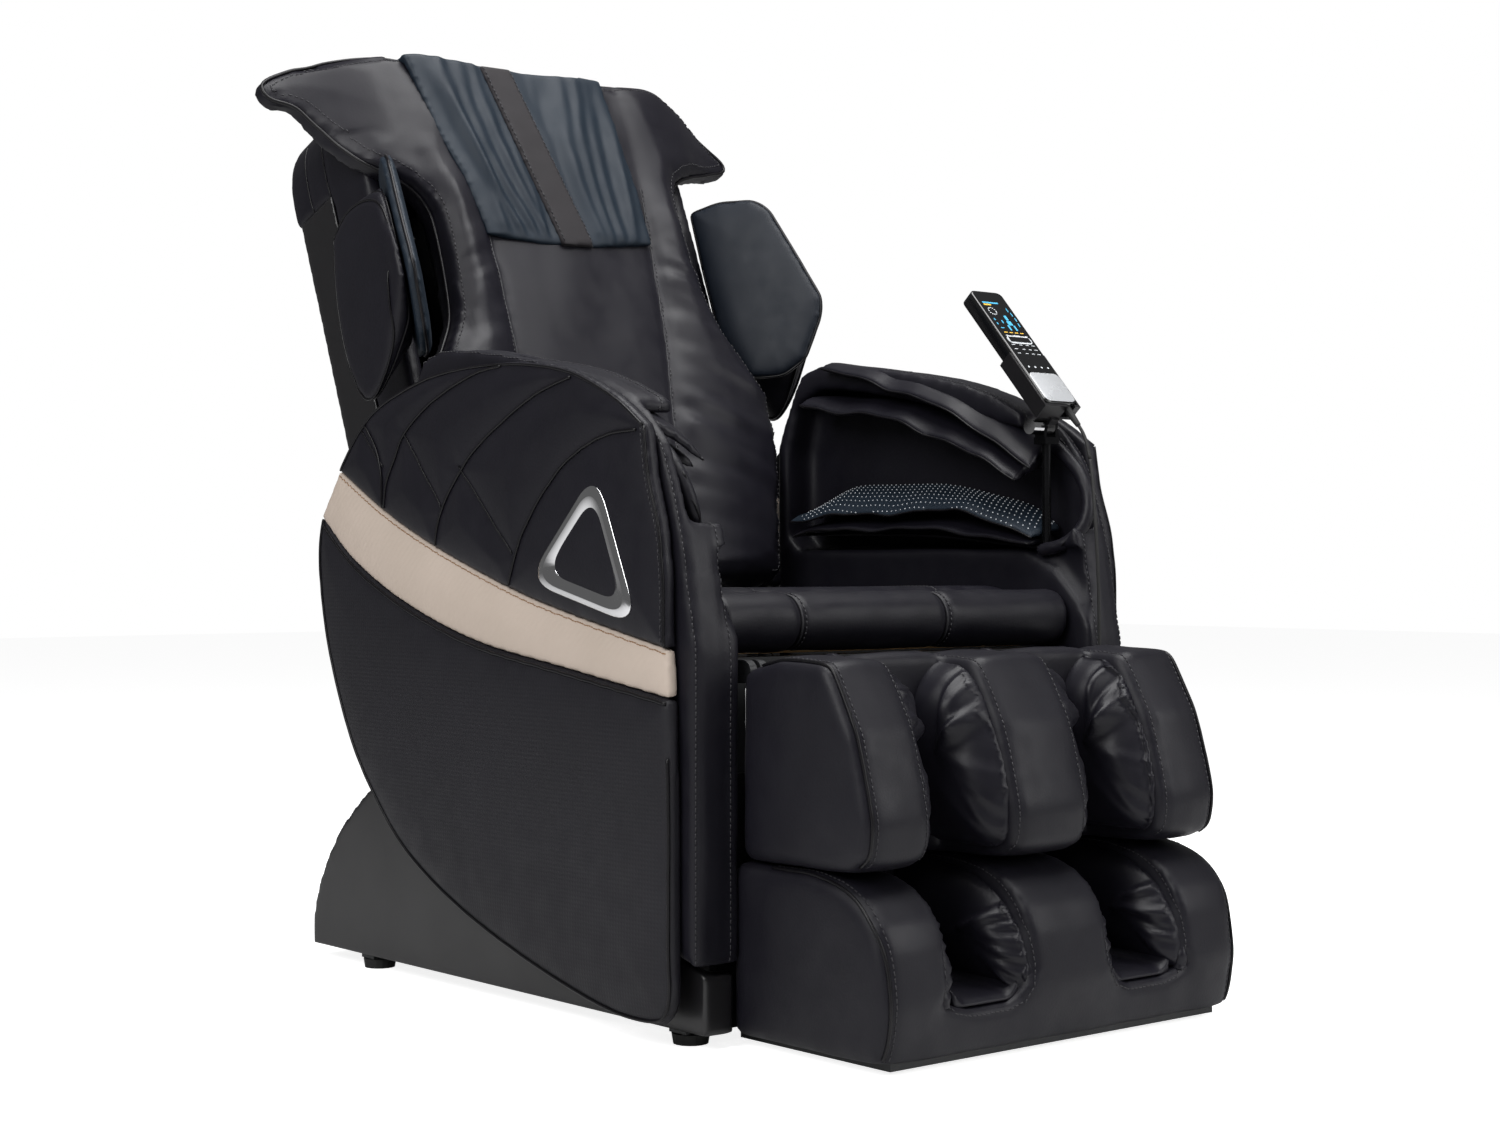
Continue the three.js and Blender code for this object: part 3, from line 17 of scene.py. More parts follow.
import bmesh
import bpy
from mathutils import Matrix, Vector, noise
from mathutils.bvhtree import BVHTree
from mathutils.kdtree import KDTree
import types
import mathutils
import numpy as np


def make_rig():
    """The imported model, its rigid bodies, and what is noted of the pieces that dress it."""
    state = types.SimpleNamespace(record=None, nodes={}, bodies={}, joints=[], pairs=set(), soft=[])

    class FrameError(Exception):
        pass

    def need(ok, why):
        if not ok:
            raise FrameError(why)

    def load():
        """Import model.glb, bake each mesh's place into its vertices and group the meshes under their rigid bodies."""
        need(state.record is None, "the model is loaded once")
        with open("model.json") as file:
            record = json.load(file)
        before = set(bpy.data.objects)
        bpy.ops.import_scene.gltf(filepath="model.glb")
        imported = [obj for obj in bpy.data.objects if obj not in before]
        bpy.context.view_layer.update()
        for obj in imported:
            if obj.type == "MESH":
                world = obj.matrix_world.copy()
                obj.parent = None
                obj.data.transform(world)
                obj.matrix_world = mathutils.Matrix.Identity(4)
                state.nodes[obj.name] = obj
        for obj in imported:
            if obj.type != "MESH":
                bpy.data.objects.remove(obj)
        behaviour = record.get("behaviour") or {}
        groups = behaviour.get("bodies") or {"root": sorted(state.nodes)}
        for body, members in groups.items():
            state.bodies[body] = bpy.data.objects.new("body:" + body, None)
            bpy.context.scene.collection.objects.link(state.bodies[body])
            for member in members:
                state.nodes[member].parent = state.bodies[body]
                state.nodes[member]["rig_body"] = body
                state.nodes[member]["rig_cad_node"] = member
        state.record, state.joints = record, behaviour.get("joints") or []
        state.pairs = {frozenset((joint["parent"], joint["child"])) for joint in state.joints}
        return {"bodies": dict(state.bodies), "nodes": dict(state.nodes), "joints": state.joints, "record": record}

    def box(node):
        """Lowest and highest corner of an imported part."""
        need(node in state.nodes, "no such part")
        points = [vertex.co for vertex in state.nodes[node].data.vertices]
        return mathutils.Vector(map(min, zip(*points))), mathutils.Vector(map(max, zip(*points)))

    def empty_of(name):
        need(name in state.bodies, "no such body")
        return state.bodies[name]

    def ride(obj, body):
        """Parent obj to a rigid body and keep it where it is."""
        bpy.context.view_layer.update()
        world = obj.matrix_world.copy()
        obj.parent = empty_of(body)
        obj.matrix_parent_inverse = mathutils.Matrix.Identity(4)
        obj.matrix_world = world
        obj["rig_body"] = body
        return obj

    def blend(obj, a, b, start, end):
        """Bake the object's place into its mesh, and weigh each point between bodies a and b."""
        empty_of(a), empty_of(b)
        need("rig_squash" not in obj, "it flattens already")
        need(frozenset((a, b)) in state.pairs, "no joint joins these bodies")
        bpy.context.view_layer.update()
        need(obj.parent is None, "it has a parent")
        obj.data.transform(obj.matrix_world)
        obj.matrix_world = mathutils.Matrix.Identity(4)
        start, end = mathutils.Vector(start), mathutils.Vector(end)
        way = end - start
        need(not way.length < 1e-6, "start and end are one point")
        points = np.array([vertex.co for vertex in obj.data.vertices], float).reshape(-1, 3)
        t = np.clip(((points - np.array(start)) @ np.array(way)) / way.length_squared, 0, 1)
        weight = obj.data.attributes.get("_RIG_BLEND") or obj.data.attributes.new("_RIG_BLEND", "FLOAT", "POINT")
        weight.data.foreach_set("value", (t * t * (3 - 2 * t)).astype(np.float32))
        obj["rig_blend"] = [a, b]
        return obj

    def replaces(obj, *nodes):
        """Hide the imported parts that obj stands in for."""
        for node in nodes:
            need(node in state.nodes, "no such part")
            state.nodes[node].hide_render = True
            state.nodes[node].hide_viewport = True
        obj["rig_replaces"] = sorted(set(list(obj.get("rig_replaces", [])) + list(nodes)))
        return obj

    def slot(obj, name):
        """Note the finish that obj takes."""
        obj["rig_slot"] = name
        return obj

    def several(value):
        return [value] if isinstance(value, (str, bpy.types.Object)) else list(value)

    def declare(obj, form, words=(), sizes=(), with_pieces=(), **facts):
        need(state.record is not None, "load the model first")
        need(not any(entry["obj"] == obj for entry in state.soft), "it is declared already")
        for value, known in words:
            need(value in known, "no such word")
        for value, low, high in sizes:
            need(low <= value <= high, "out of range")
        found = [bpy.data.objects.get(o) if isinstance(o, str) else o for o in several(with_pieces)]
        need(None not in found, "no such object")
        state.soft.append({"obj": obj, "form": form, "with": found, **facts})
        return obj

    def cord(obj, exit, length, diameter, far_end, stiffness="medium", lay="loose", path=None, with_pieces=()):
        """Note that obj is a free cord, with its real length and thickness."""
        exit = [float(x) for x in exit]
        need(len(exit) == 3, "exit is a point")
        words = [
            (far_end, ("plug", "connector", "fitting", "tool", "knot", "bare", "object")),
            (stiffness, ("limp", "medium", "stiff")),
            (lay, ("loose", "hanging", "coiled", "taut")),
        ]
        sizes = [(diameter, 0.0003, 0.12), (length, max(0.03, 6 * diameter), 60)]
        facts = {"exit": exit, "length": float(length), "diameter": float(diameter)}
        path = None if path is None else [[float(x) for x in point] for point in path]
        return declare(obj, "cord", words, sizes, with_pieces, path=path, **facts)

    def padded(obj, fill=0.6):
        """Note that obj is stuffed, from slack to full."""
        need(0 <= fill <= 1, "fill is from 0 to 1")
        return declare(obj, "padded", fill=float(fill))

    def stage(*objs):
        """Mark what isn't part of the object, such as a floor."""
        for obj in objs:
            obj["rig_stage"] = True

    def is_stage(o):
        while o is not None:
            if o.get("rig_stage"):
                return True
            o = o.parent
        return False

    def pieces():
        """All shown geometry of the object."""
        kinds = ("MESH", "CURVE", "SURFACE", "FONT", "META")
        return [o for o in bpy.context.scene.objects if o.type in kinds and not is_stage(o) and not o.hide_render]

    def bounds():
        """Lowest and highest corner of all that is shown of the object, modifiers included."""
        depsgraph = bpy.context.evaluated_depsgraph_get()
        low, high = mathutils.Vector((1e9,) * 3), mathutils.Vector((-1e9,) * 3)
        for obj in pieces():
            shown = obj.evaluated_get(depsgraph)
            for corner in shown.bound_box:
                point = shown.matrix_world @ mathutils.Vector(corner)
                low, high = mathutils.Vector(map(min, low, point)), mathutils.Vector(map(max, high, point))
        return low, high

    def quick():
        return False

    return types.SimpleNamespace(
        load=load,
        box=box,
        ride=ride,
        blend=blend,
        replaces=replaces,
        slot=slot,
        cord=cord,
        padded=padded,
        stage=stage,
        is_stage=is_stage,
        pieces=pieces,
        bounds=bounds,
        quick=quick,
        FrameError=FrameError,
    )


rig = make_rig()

MM = 0.001
MIX_COLOUR_A, MIX_COLOUR_B, MIX_COLOUR_RESULT = 6, 7, 2  # a Mix node's colour sockets, by number
PAN_FRONT = -0.350  # the front edge of the seat pan in the shop frame, in metres
FLOOR_HALF = 14.0  # half the width of the studio floor, in metres
Point = tuple[float, float]
Place = Callable[[float, float, float], Vector]
log = logging.getLogger("massage_chair")


# ------------------------------------------------------------------------------------------- places
@dataclass(frozen=True)
class Datum:
    """Turns shop millimetres into the row frame.

    Attributes:
        shift: how far the row frame's origin lies in front of the shop's, in metres.
    """

    shift: float
    back_pivot: tuple[float, float] = (120.0, 400.0)
    back_lean: float = 22.0
    tilt_axis: tuple[float, float, float] = (296.0, -372.0, 712.0)
    remote_lean: float = 42.0

    def at(self, x: float, y: float, z: float) -> Vector:
        """The row-frame point of shop coordinates in millimetres."""
        return Vector((x * MM, y * MM + self.shift, z * MM))

    def side(self, y: float, z: float, x: float) -> Vector:
        """A point of a side-view outline, x across the chair."""
        return self.at(x, y, z)

    def _turned(self, x: float, y: float, z: float, pivot: tuple[float, float, float], lean: float) -> Vector:
        """A point of a frame that leans back about a pivot."""
        cos, sin = math.cos(math.radians(lean)), math.sin(math.radians(lean))
        return self.at(pivot[0] + x, pivot[1] + y * cos + z * sin, pivot[2] - y * sin + z * cos)

    def on_back(self, x: float, y: float, z: float) -> Vector:
        """A point given in the back's own frame."""
        return self._turned(x, y, z, (0.0, *self.back_pivot), self.back_lean)

    def back_front(self, x: float, z: float, y: float) -> Vector:
        """A point of a front-view outline on the back, y through its thickness."""
        return self.on_back(x, y, z)

    def on_handset(self, x: float, y: float, z: float) -> Vector:
        """A point given in the handset's own frame."""
        return self._turned(x, y, z, self.tilt_axis, self.remote_lean)

    def handset_front(self, x: float, z: float, y: float) -> Vector:
        """A point of a front-view outline on the handset."""
        return self.on_handset(x, y, z)

    def back_local(self, point: Vector) -> tuple[float, float, float]:
        """The back's own coordinates, in millimetres, of a row-frame point."""
        cos, sin = math.cos(math.radians(self.back_lean)), math.sin(math.radians(self.back_lean))
        y = (point.y - self.shift) / MM - self.back_pivot[0]
        z = point.z / MM - self.back_pivot[1]
        return point.x / MM, y * cos - z * sin, y * sin + z * cos

    def shop(self, point: Vector) -> tuple[float, float, float]:
        """Shop coordinates, in millimetres, of a row-frame point."""
        return point.x / MM, (point.y - self.shift) / MM, point.z / MM


def smooth_line(points: Sequence[Sequence[float]], step: float = 4.0) -> list[Vector]:
    """A smooth curve through the points.

    Args:
        points: the points it passes through, of two or three numbers.
        step: the spacing of the result, in the points' own unit.

    Returns:
        Points along the curve, the first and last of them the given ends.
    """
    knots = [Vector(p) for p in points]
    ends = [knots[0] * 2 - knots[1], *knots, knots[-1] * 2 - knots[-2]]
    line: list[Vector] = []
    for a, b, c, d in zip(ends, ends[1:], ends[2:], ends[3:]):
        count = max(1, round((c - b).length / step))
        for i in range(count):
            t = i / count
            line.append(
                0.5 * ((2 * b) + (c - a) * t + (2 * a - 5 * b + 4 * c - d) * t * t + (3 * b - a - 3 * c + d) * t**3)
            )
    return [*line, knots[-1]]


def resampled(line: Sequence[Vector], count: int) -> list[Vector]:
    """The line as a number of evenly spaced points."""
    lengths = [0.0]
    for a, b in zip(line, line[1:]):
        lengths.append(lengths[-1] + (b - a).length)
    points, k = [], 0
    for i in range(count):
        due = lengths[-1] * i / (count - 1)
        while k < len(line) - 2 and lengths[k + 1] < due:
            k += 1
        span = lengths[k + 1] - lengths[k]
        points.append(line[k].lerp(line[k + 1], min(1.0, (due - lengths[k]) / span)))
    return points


def ramp(value: float, low: float, high: float) -> float:
    """A smooth rise from 0 at low to 1 at high."""
    t = min(1.0, max(0.0, (value - low) / (high - low)))
    return t * t * (3 - 2 * t)


# ---------------------------------------------------------------------------------------- materials
def linear(code: str) -> tuple[float, float, float, float]:
    """The linear colour of an sRGB hex code."""
    parts = [int(code[i : i + 2], 16) / 255 for i in (1, 3, 5)]
    r, g, b = (c / 12.92 if c <= 0.04045 else ((c + 0.055) / 1.055) ** 2.4 for c in parts)
    return (r, g, b, 1.0)


def put_node(tree: bpy.types.NodeTree, kind: str, inputs: dict | None = None, **settings) -> bpy.types.Node:
    """Adds a node.

    Args:
        tree: the tree to add it to.
        kind: the node's type, without its ShaderNode prefix.
        inputs: socket name or number to a value, or to another node's output.
        settings: attributes of the node.

    Returns:
        The node.
    """
    node = tree.nodes.new("ShaderNode" + kind)
    for key, value in settings.items():
        setattr(node, key, value)
    for key, value in (inputs or {}).items():
        if isinstance(value, bpy.types.NodeSocket):
            tree.links.new(value, node.inputs[key])
        else:
            node.inputs[key].default_value = value
    return node


def mix_colours(
    tree: bpy.types.NodeTree, factor: bpy.types.NodeSocket, low: tuple[float, ...], high: tuple[float, ...]
) -> bpy.types.NodeSocket:
    """A blend of two colours, from low at factor 0 to high at factor 1."""
    tone = put_node(tree, "Mix", {"Factor": factor, MIX_COLOUR_A: low, MIX_COLOUR_B: high}, data_type="RGBA")
    return tone.outputs[MIX_COLOUR_RESULT]


class Pattern(Enum):
    """What a hide or a woven sheet shows when it is close."""

    PEBBLE = "pebble"
    RIB = "rib"
    WEAVE = "weave"
    PLAIN = "plain"


@dataclass(frozen=True)
class Upholstery:
    """Coated upholstery: a polyurethane skin on a knitted back, embossed by a roller.

    The skin gives a broad soft highlight, which the embossing breaks up.
    """

    name: str
    colour: str
    shade: str
    roughness: float = 0.44
    pattern: Pattern = Pattern.PEBBLE
    pitch: float = 2.6  # of the embossing, in millimetres
    depth: float = 0.16
    sheen: float = 0.0
    shine: float = 0.24

    def build(self) -> bpy.types.Material:
        """The material."""
        material = bpy.data.materials.new(self.name)
        material.use_nodes = True
        tree = material.node_tree
        tree.nodes.clear()
        place = put_node(tree, "TexCoord").outputs["Object"]
        # handling and light tanning leave broad, faint clouds of tone
        clouds = put_node(tree, "TexNoise", {"Vector": place, "Scale": 9.0, "Detail": 4.0}).outputs["Fac"]
        tone = mix_colours(tree, clouds, linear(self.shade), linear(self.colour))
        gloss = put_node(
            tree,
            "MapRange",
            {
                "Value": put_node(tree, "TexNoise", {"Vector": place, "Scale": 34.0, "Detail": 3.0}).outputs["Fac"],
                "From Min": 0.3,
                "From Max": 0.7,
                "To Min": self.roughness - 0.05,
                "To Max": self.roughness + 0.06,
            },
        )
        density = 1 / (self.pitch * MM)
        if self.pattern is Pattern.PEBBLE:
            height = put_node(tree, "TexVoronoi", {"Vector": place, "Scale": density}, feature="SMOOTH_F1")
            relief = height.outputs["Distance"]
        elif self.pattern is Pattern.RIB:
            wave = put_node(
                tree,
                "TexWave",
                {"Vector": place, "Scale": density / 6.28, "Distortion": 0.6, "Detail": 1.0},
                bands_direction="DIAGONAL",
            )
            relief = wave.outputs["Fac"]
        elif self.pattern is Pattern.WEAVE:
            waves = [
                put_node(
                    tree, "TexWave", {"Vector": place, "Scale": density / 6.28, "Distortion": 0.4}, bands_direction=d
                ).outputs["Fac"]
                for d in ("Y", "Z")
            ]
            relief = put_node(tree, "Math", {0: waves[0], 1: waves[1]}, operation="MULTIPLY").outputs[0]
        else:
            relief = put_node(tree, "TexNoise", {"Vector": place, "Scale": density * 0.4, "Detail": 2.0}).outputs["Fac"]
        bump = put_node(tree, "Bump", {"Height": relief, "Strength": self.depth, "Distance": 0.0006})
        skin = put_node(
            tree,
            "BsdfPrincipled",
            {
                "Base Color": tone,
                "Roughness": gloss.outputs[0],
                "Normal": bump.outputs["Normal"],
                "IOR": 1.48,
                "Specular IOR Level": self.shine,
                "Sheen Weight": self.sheen,
                "Sheen Roughness": 0.5,
            },
        )
        put_node(tree, "OutputMaterial", {"Surface": skin.outputs[0]})
        return material


@dataclass(frozen=True)
class Hard:
    """A hard finish: moulded plastic, painted or plated metal, rubber, glass or print.

    Moulding, paint and plating leave a faint unevenness that shows in the highlight.
    """

    name: str
    colour: str
    roughness: float
    metallic: float = 0.0
    coat: float = 0.0
    grain_mm: float = 1.2
    depth: float = 0.04
    glow: float = 0.0

    def build(self) -> bpy.types.Material:
        """The material."""
        material = bpy.data.materials.new(self.name)
        material.use_nodes = True
        tree = material.node_tree
        tree.nodes.clear()
        place = put_node(tree, "TexCoord").outputs["Object"]
        speckle = put_node(tree, "TexNoise", {"Vector": place, "Scale": 1 / (self.grain_mm * MM), "Detail": 2.0})
        smear = put_node(tree, "TexNoise", {"Vector": place, "Scale": 14.0, "Detail": 3.0})
        gloss = put_node(
            tree,
            "MapRange",
            {
                "Value": smear.outputs["Fac"],
                "From Min": 0.3,
                "From Max": 0.7,
                "To Min": max(0.02, self.roughness - 0.03),
                "To Max": self.roughness + 0.04,
            },
        )
        bump = put_node(tree, "Bump", {"Height": speckle.outputs["Fac"], "Strength": self.depth, "Distance": 0.0003})
        base = linear(self.colour)
        tone = mix_colours(tree, smear.outputs["Fac"], tuple(c * 0.86 for c in base[:3]) + (1.0,), base)
        inputs = {
            "Base Color": tone,
            "Roughness": gloss.outputs[0],
            "Metallic": self.metallic,
            "Normal": bump.outputs["Normal"],
            "Coat Weight": self.coat,
            "Coat Roughness": 0.08,
        }
        if self.glow:
            inputs["Emission Color"] = linear(self.colour)
            inputs["Emission Strength"] = self.glow
        skin = put_node(tree, "BsdfPrincipled", inputs)
        put_node(tree, "OutputMaterial", {"Surface": skin.outputs[0]})
        return material


class Finish(Enum):
    """Every finish on the chair."""

    HIDE = Upholstery("black_pu_leather", "#15141b", "#0f0e14", 0.46)
    HIDE_SOFT = Upholstery("soft_black_pu_leather", "#16151c", "#100f15", 0.40, pitch=3.0, depth=0.08)
    SLATE = Upholstery("slate_blue_pu_leather", "#19232d", "#131b24", 0.5, Pattern.PLAIN, 2.2, 0.10)
    # a darker copy of the slate leather: painted shade on the left shoulder cushion
    NAVY = Upholstery("navy_lining", "#10161f", "#0c1119", 0.52, Pattern.PLAIN, 2.0, 0.10)
    UMBER = Upholstery("brown_black_suede", "#1e1b1e", "#171417", 0.62, Pattern.PLAIN, 1.6, 0.14, 0.05)
    CHARCOAL = Upholstery("embossed_charcoal_vinyl", "#17161c", "#111015", 0.52, Pattern.WEAVE, 2.6, 0.22, 0.0, 0.3)
    CREAM = Upholstery("ribbed_cream_vinyl", "#b9aba0", "#ab9e92", 0.6, Pattern.RIB, 2.8, 0.3)
    PIPING = Upholstery("black_piping", "#0e0d10", "#0a090c", 0.34, Pattern.PLAIN, 2.0, 0.05)
    THREAD = Hard("black_bonded_thread", "#1f1e23", 0.6)
    TAN_THREAD = Hard("tan_bonded_thread", "#8d6a4a", 0.6)
    WHITE_THREAD = Hard("white_pin_dot_thread", "#c9cdd2", 0.55)
    SHELL = Hard("satin_abs", "#151416", 0.34, grain_mm=1.4, depth=0.05)
    GLOSS = Hard("gloss_black_abs", "#0d0d0e", 0.12, coat=0.5, depth=0.01)
    SILVER = Hard("silver_painted_abs", "#c7c9cc", 0.28, 0.35, depth=0.02)
    STEEL = Hard("powder_coated_steel", "#1d1e20", 0.45, 0.2, grain_mm=0.9, depth=0.12)
    ZINC = Hard("zinc_plated_steel", "#9da0a3", 0.32, 0.95, depth=0.05)
    CHROME = Hard("bright_chrome_plate", "#dcdcde", 0.07, 1.0, depth=0.0)
    BLACK_CHROME = Hard("black_nickel_tube", "#2a2a2c", 0.16, 0.9, depth=0.0)
    RUBBER = Hard("black_rubber", "#121212", 0.75, grain_mm=0.8, depth=0.1)
    NYLON = Hard("natural_nylon", "#b7a98c", 0.5)
    PLYWOOD = Hard("birch_plywood", "#b08d5e", 0.6, grain_mm=3.0, depth=0.1)
    SCREEN = Hard("display_glass", "#050608", 0.08, coat=0.6, depth=0.0)
    GLOW_BLUE = Hard("display_blue", "#3f93b5", 0.4, glow=0.7, depth=0.0)
    GLOW_AMBER = Hard("display_amber", "#c9a23c", 0.4, glow=0.7, depth=0.0)
    GLOW_WHITE = Hard("display_white", "#b9bdc0", 0.4, glow=0.5, depth=0.0)


class Paintbox:
    """Builds each finish once."""

    def __init__(self) -> None:
        """Starts empty."""
        self._made: dict[Finish, bpy.types.Material] = {}

    def get(self, finish: Finish) -> bpy.types.Material:
        """The material of a finish."""
        if finish not in self._made:
            self._made[finish] = finish.value.build()
        return self._made[finish]


# ------------------------------------------------------------------------------------- mesh working
class Seams:
    """Lines on a surface, to measure how far a point lies from the nearest of them."""

    def __init__(self, lines: Iterable[Sequence[Vector]], spacing: float = 0.003) -> None:
        """Samples the lines.

        Args:
            lines: polylines in the row frame.
            spacing: the distance between samples, in metres.
        """
        samples: list[Vector] = []
        for line in lines:
            for a, b in zip(line, line[1:]):
                count = max(1, int((b - a).length / spacing))
                samples.extend(a.lerp(b, i / count) for i in range(count))
            samples.append(line[-1])
        self._tree = KDTree(len(samples))
        for i, sample in enumerate(samples):
            self._tree.insert(sample, i)
        self._tree.balance()

    def gap(self, point: Vector) -> float:
        """The distance from a point to the nearest line, in millimetres."""
        return self._tree.find(point)[2] / MM

    def groove(self, point: Vector, depth: float, width: float) -> float:
        """How far a stitched seam pulls the surface in at a point, in metres."""
        return -depth * MM * math.exp(-((self.gap(point) / width) ** 2))

    def crown(self, point: Vector, height: float, reach: float) -> float:
        """How far stuffing lifts the surface at a point, in metres."""
        return height * MM * (1 - math.exp(-self.gap(point) / reach))


Rule = Callable[[Vector, Vector], "float | Vector"]


class Blank:
    """A closed mesh being shaped, in metres in the row frame."""

    def __init__(self, mesh: bmesh.types.BMesh) -> None:
        """Takes over a mesh."""
        self.mesh = mesh

    @classmethod
    def slab(cls, outline: Sequence[Sequence[float]], place: Place, low: float, high: float) -> "Blank":
        """A flat outline given a thickness.

        Args:
            outline: its corners, in the place's first two coordinates.
            place: turns the outline's two coordinates and a depth into a row-frame point.
            low: the depth of one face.
            high: the depth of the other.

        Returns:
            The blank.
        """
        mesh = bmesh.new()
        face = mesh.faces.new([mesh.verts.new(place(p[0], p[1], low)) for p in outline])
        grown = bmesh.ops.extrude_face_region(mesh, geom=[face])["geom"]
        rise = place(0, 0, high) - place(0, 0, low)
        bmesh.ops.translate(mesh, verts=[v for v in grown if isinstance(v, bmesh.types.BMVert)], vec=rise)
        bmesh.ops.recalc_face_normals(mesh, faces=mesh.faces[:])
        return cls(mesh)

    @classmethod
    def hull(cls, points: Iterable[Vector]) -> "Blank":
        """The convex hull of points in the row frame."""
        mesh = bmesh.new()
        done = bmesh.ops.convex_hull(mesh, input=[mesh.verts.new(p) for p in points])
        loose = [v for v in done["geom_interior"] + done["geom_unused"] if isinstance(v, bmesh.types.BMVert)]
        bmesh.ops.delete(mesh, geom=list(set(loose)), context="VERTS")
        return cls(mesh)

    @classmethod
    def leaf(cls, free: Sequence[Vector], root: Sequence[Vector], thickness: float, crown: float = 0.0) -> "Blank":
        """A padded flap between its free edge and the line it is sewn along.

        Args:
            free: points of the free edge.
            root: points of the sewn edge, in the same direction.
            thickness: in millimetres.
            crown: how far its middle rises, in millimetres.

        Returns:
            The blank.
        """
        count, across = 90, 12
        edges = [resampled(free, count), resampled(root, count)]
        mesh = bmesh.new()
        skins = []
        for level in (0.5, -0.5):
            rows = []
            for a, b in zip(*edges):
                row = []
                for k in range(across + 1):
                    t = k / across
                    rise = crown * math.sin(math.pi * t) + level * thickness * min(1.0, 0.45 + 2.2 * t)
                    row.append(mesh.verts.new(a.lerp(b, t) + Vector((0, 0, rise * MM))))
                rows.append(row)
            skins.append(rows)
        for rows in skins:
            for row, after in zip(rows, rows[1:]):
                for k in range(across):
                    mesh.faces.new((row[k], row[k + 1], after[k + 1], after[k]))
        top, bottom = skins
        rims = [
            (top[0], bottom[0]),
            (top[-1], bottom[-1]),
            ([r[0] for r in top], [r[0] for r in bottom]),
            ([r[-1] for r in top], [r[-1] for r in bottom]),
        ]
        for upper, lower in rims:
            for a, b, c, d in zip(upper, upper[1:], lower[1:], lower):
                mesh.faces.new((a, b, c, d))
        bmesh.ops.recalc_face_normals(mesh, faces=mesh.faces[:])
        return cls(mesh)

    @classmethod
    def of_node(cls, node: bpy.types.Object) -> "Blank":
        """A copy of a CAD node, its loose triangles merged."""
        mesh = bmesh.new()
        mesh.from_mesh(node.data)
        bmesh.ops.remove_doubles(mesh, verts=mesh.verts[:], dist=1e-5)
        return cls(mesh)

    @classmethod
    def joined(cls, *blanks: "Blank") -> "Blank":
        """Several blanks as one mesh, for a remesh to fuse."""
        mesh = bmesh.new()
        for blank in blanks:
            part = bpy.data.meshes.new("part")
            blank.mesh.to_mesh(part)
            blank.mesh.free()
            mesh.from_mesh(part)
            bpy.data.meshes.remove(part)
        return cls(mesh)

    def _evaluated(self, kind: str, **settings) -> "Blank":
        """Applies one modifier."""
        mesh = bpy.data.meshes.new("blank")
        self.mesh.to_mesh(mesh)
        self.mesh.free()
        obj = bpy.data.objects.new("blank", mesh)
        bpy.context.scene.collection.objects.link(obj)
        modifier = obj.modifiers.new(kind, kind)
        for key, value in settings.items():
            setattr(modifier, key, value)
        done = bpy.data.meshes.new_from_object(obj.evaluated_get(bpy.context.evaluated_depsgraph_get()))
        bpy.data.objects.remove(obj)
        self.mesh = bmesh.new()
        self.mesh.from_mesh(done)
        bpy.data.meshes.remove(done)
        return self

    def remesh(self, voxel: float) -> "Blank":
        """Rebuilds the surface from cubes of a size in millimetres."""
        return self._evaluated("REMESH", mode="VOXEL", voxel_size=voxel * MM)

    def relax(self, times: int, factor: float = 0.5) -> "Blank":
        """Evens out the surface, which rounds its edges."""
        for _ in range(times):
            bmesh.ops.smooth_vert(
                self.mesh, verts=self.mesh.verts, factor=factor, use_axis_x=True, use_axis_y=True, use_axis_z=True
            )
        return self

    def bevel(self, width: float, segments: int = 3, least_angle: float = 25.0) -> "Blank":
        """Rounds the sharp edges, by a width in millimetres."""
        self.mesh.normal_update()
        sharp = [e for e in self.mesh.edges if e.is_manifold and e.calc_face_angle(0) > math.radians(least_angle)]
        bmesh.ops.bevel(
            self.mesh,
            geom=sharp,
            offset=width * MM,
            segments=segments,
            profile=0.5,
            affect="EDGES",
            material=-1,
            clamp_overlap=True,
        )
        return self

    def press(self, rule: Rule) -> "Blank":
        """Moves every vertex.

        Args:
            rule: takes a vertex's place and normal, and gives metres along the normal or a vector.

        Returns:
            The blank itself.
        """
        self.mesh.normal_update()
        moves = [rule(v.co, v.normal) for v in self.mesh.verts]
        for vertex, move in zip(self.mesh.verts, moves):
            vertex.co += move if isinstance(move, Vector) else vertex.normal * move
        return self

    def billow(self, cap: float, pressure: float = 4.0, frames: int = 16) -> "Blank":
        """Lets cloth under pressure swell and crease the piece.

        Args:
            cap: the most that a point may move, in millimetres.
            pressure: of the stuffing.
            frames: how long it settles.
        """
        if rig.quick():
            return self
        mesh = bpy.data.meshes.new("billow")
        self.mesh.to_mesh(mesh)
        obj = bpy.data.objects.new("billow", mesh)
        scene = bpy.context.scene
        scene.collection.objects.link(obj)
        cloth = obj.modifiers.new("cloth", "CLOTH")
        cloth.settings.use_pressure = True
        cloth.settings.uniform_pressure_force = pressure
        cloth.settings.tension_stiffness = 12
        cloth.settings.compression_stiffness = 12
        cloth.settings.bending_stiffness = 0.6
        cloth.settings.effector_weights.gravity = 0
        cloth.collision_settings.use_self_collision = False
        cloth.point_cache.frame_start, cloth.point_cache.frame_end = 1, frames
        for frame in range(1, frames + 1):
            scene.frame_set(frame)
        done = bpy.data.meshes.new_from_object(obj.evaluated_get(bpy.context.evaluated_depsgraph_get()))
        bpy.data.objects.remove(obj)
        scene.frame_set(1)
        for vertex, moved in zip(self.mesh.verts, done.vertices):
            shift = moved.co - vertex.co
            if shift.length > cap * MM:
                shift = shift.normalized() * cap * MM
            vertex.co += shift
        bpy.data.meshes.remove(done)
        return self

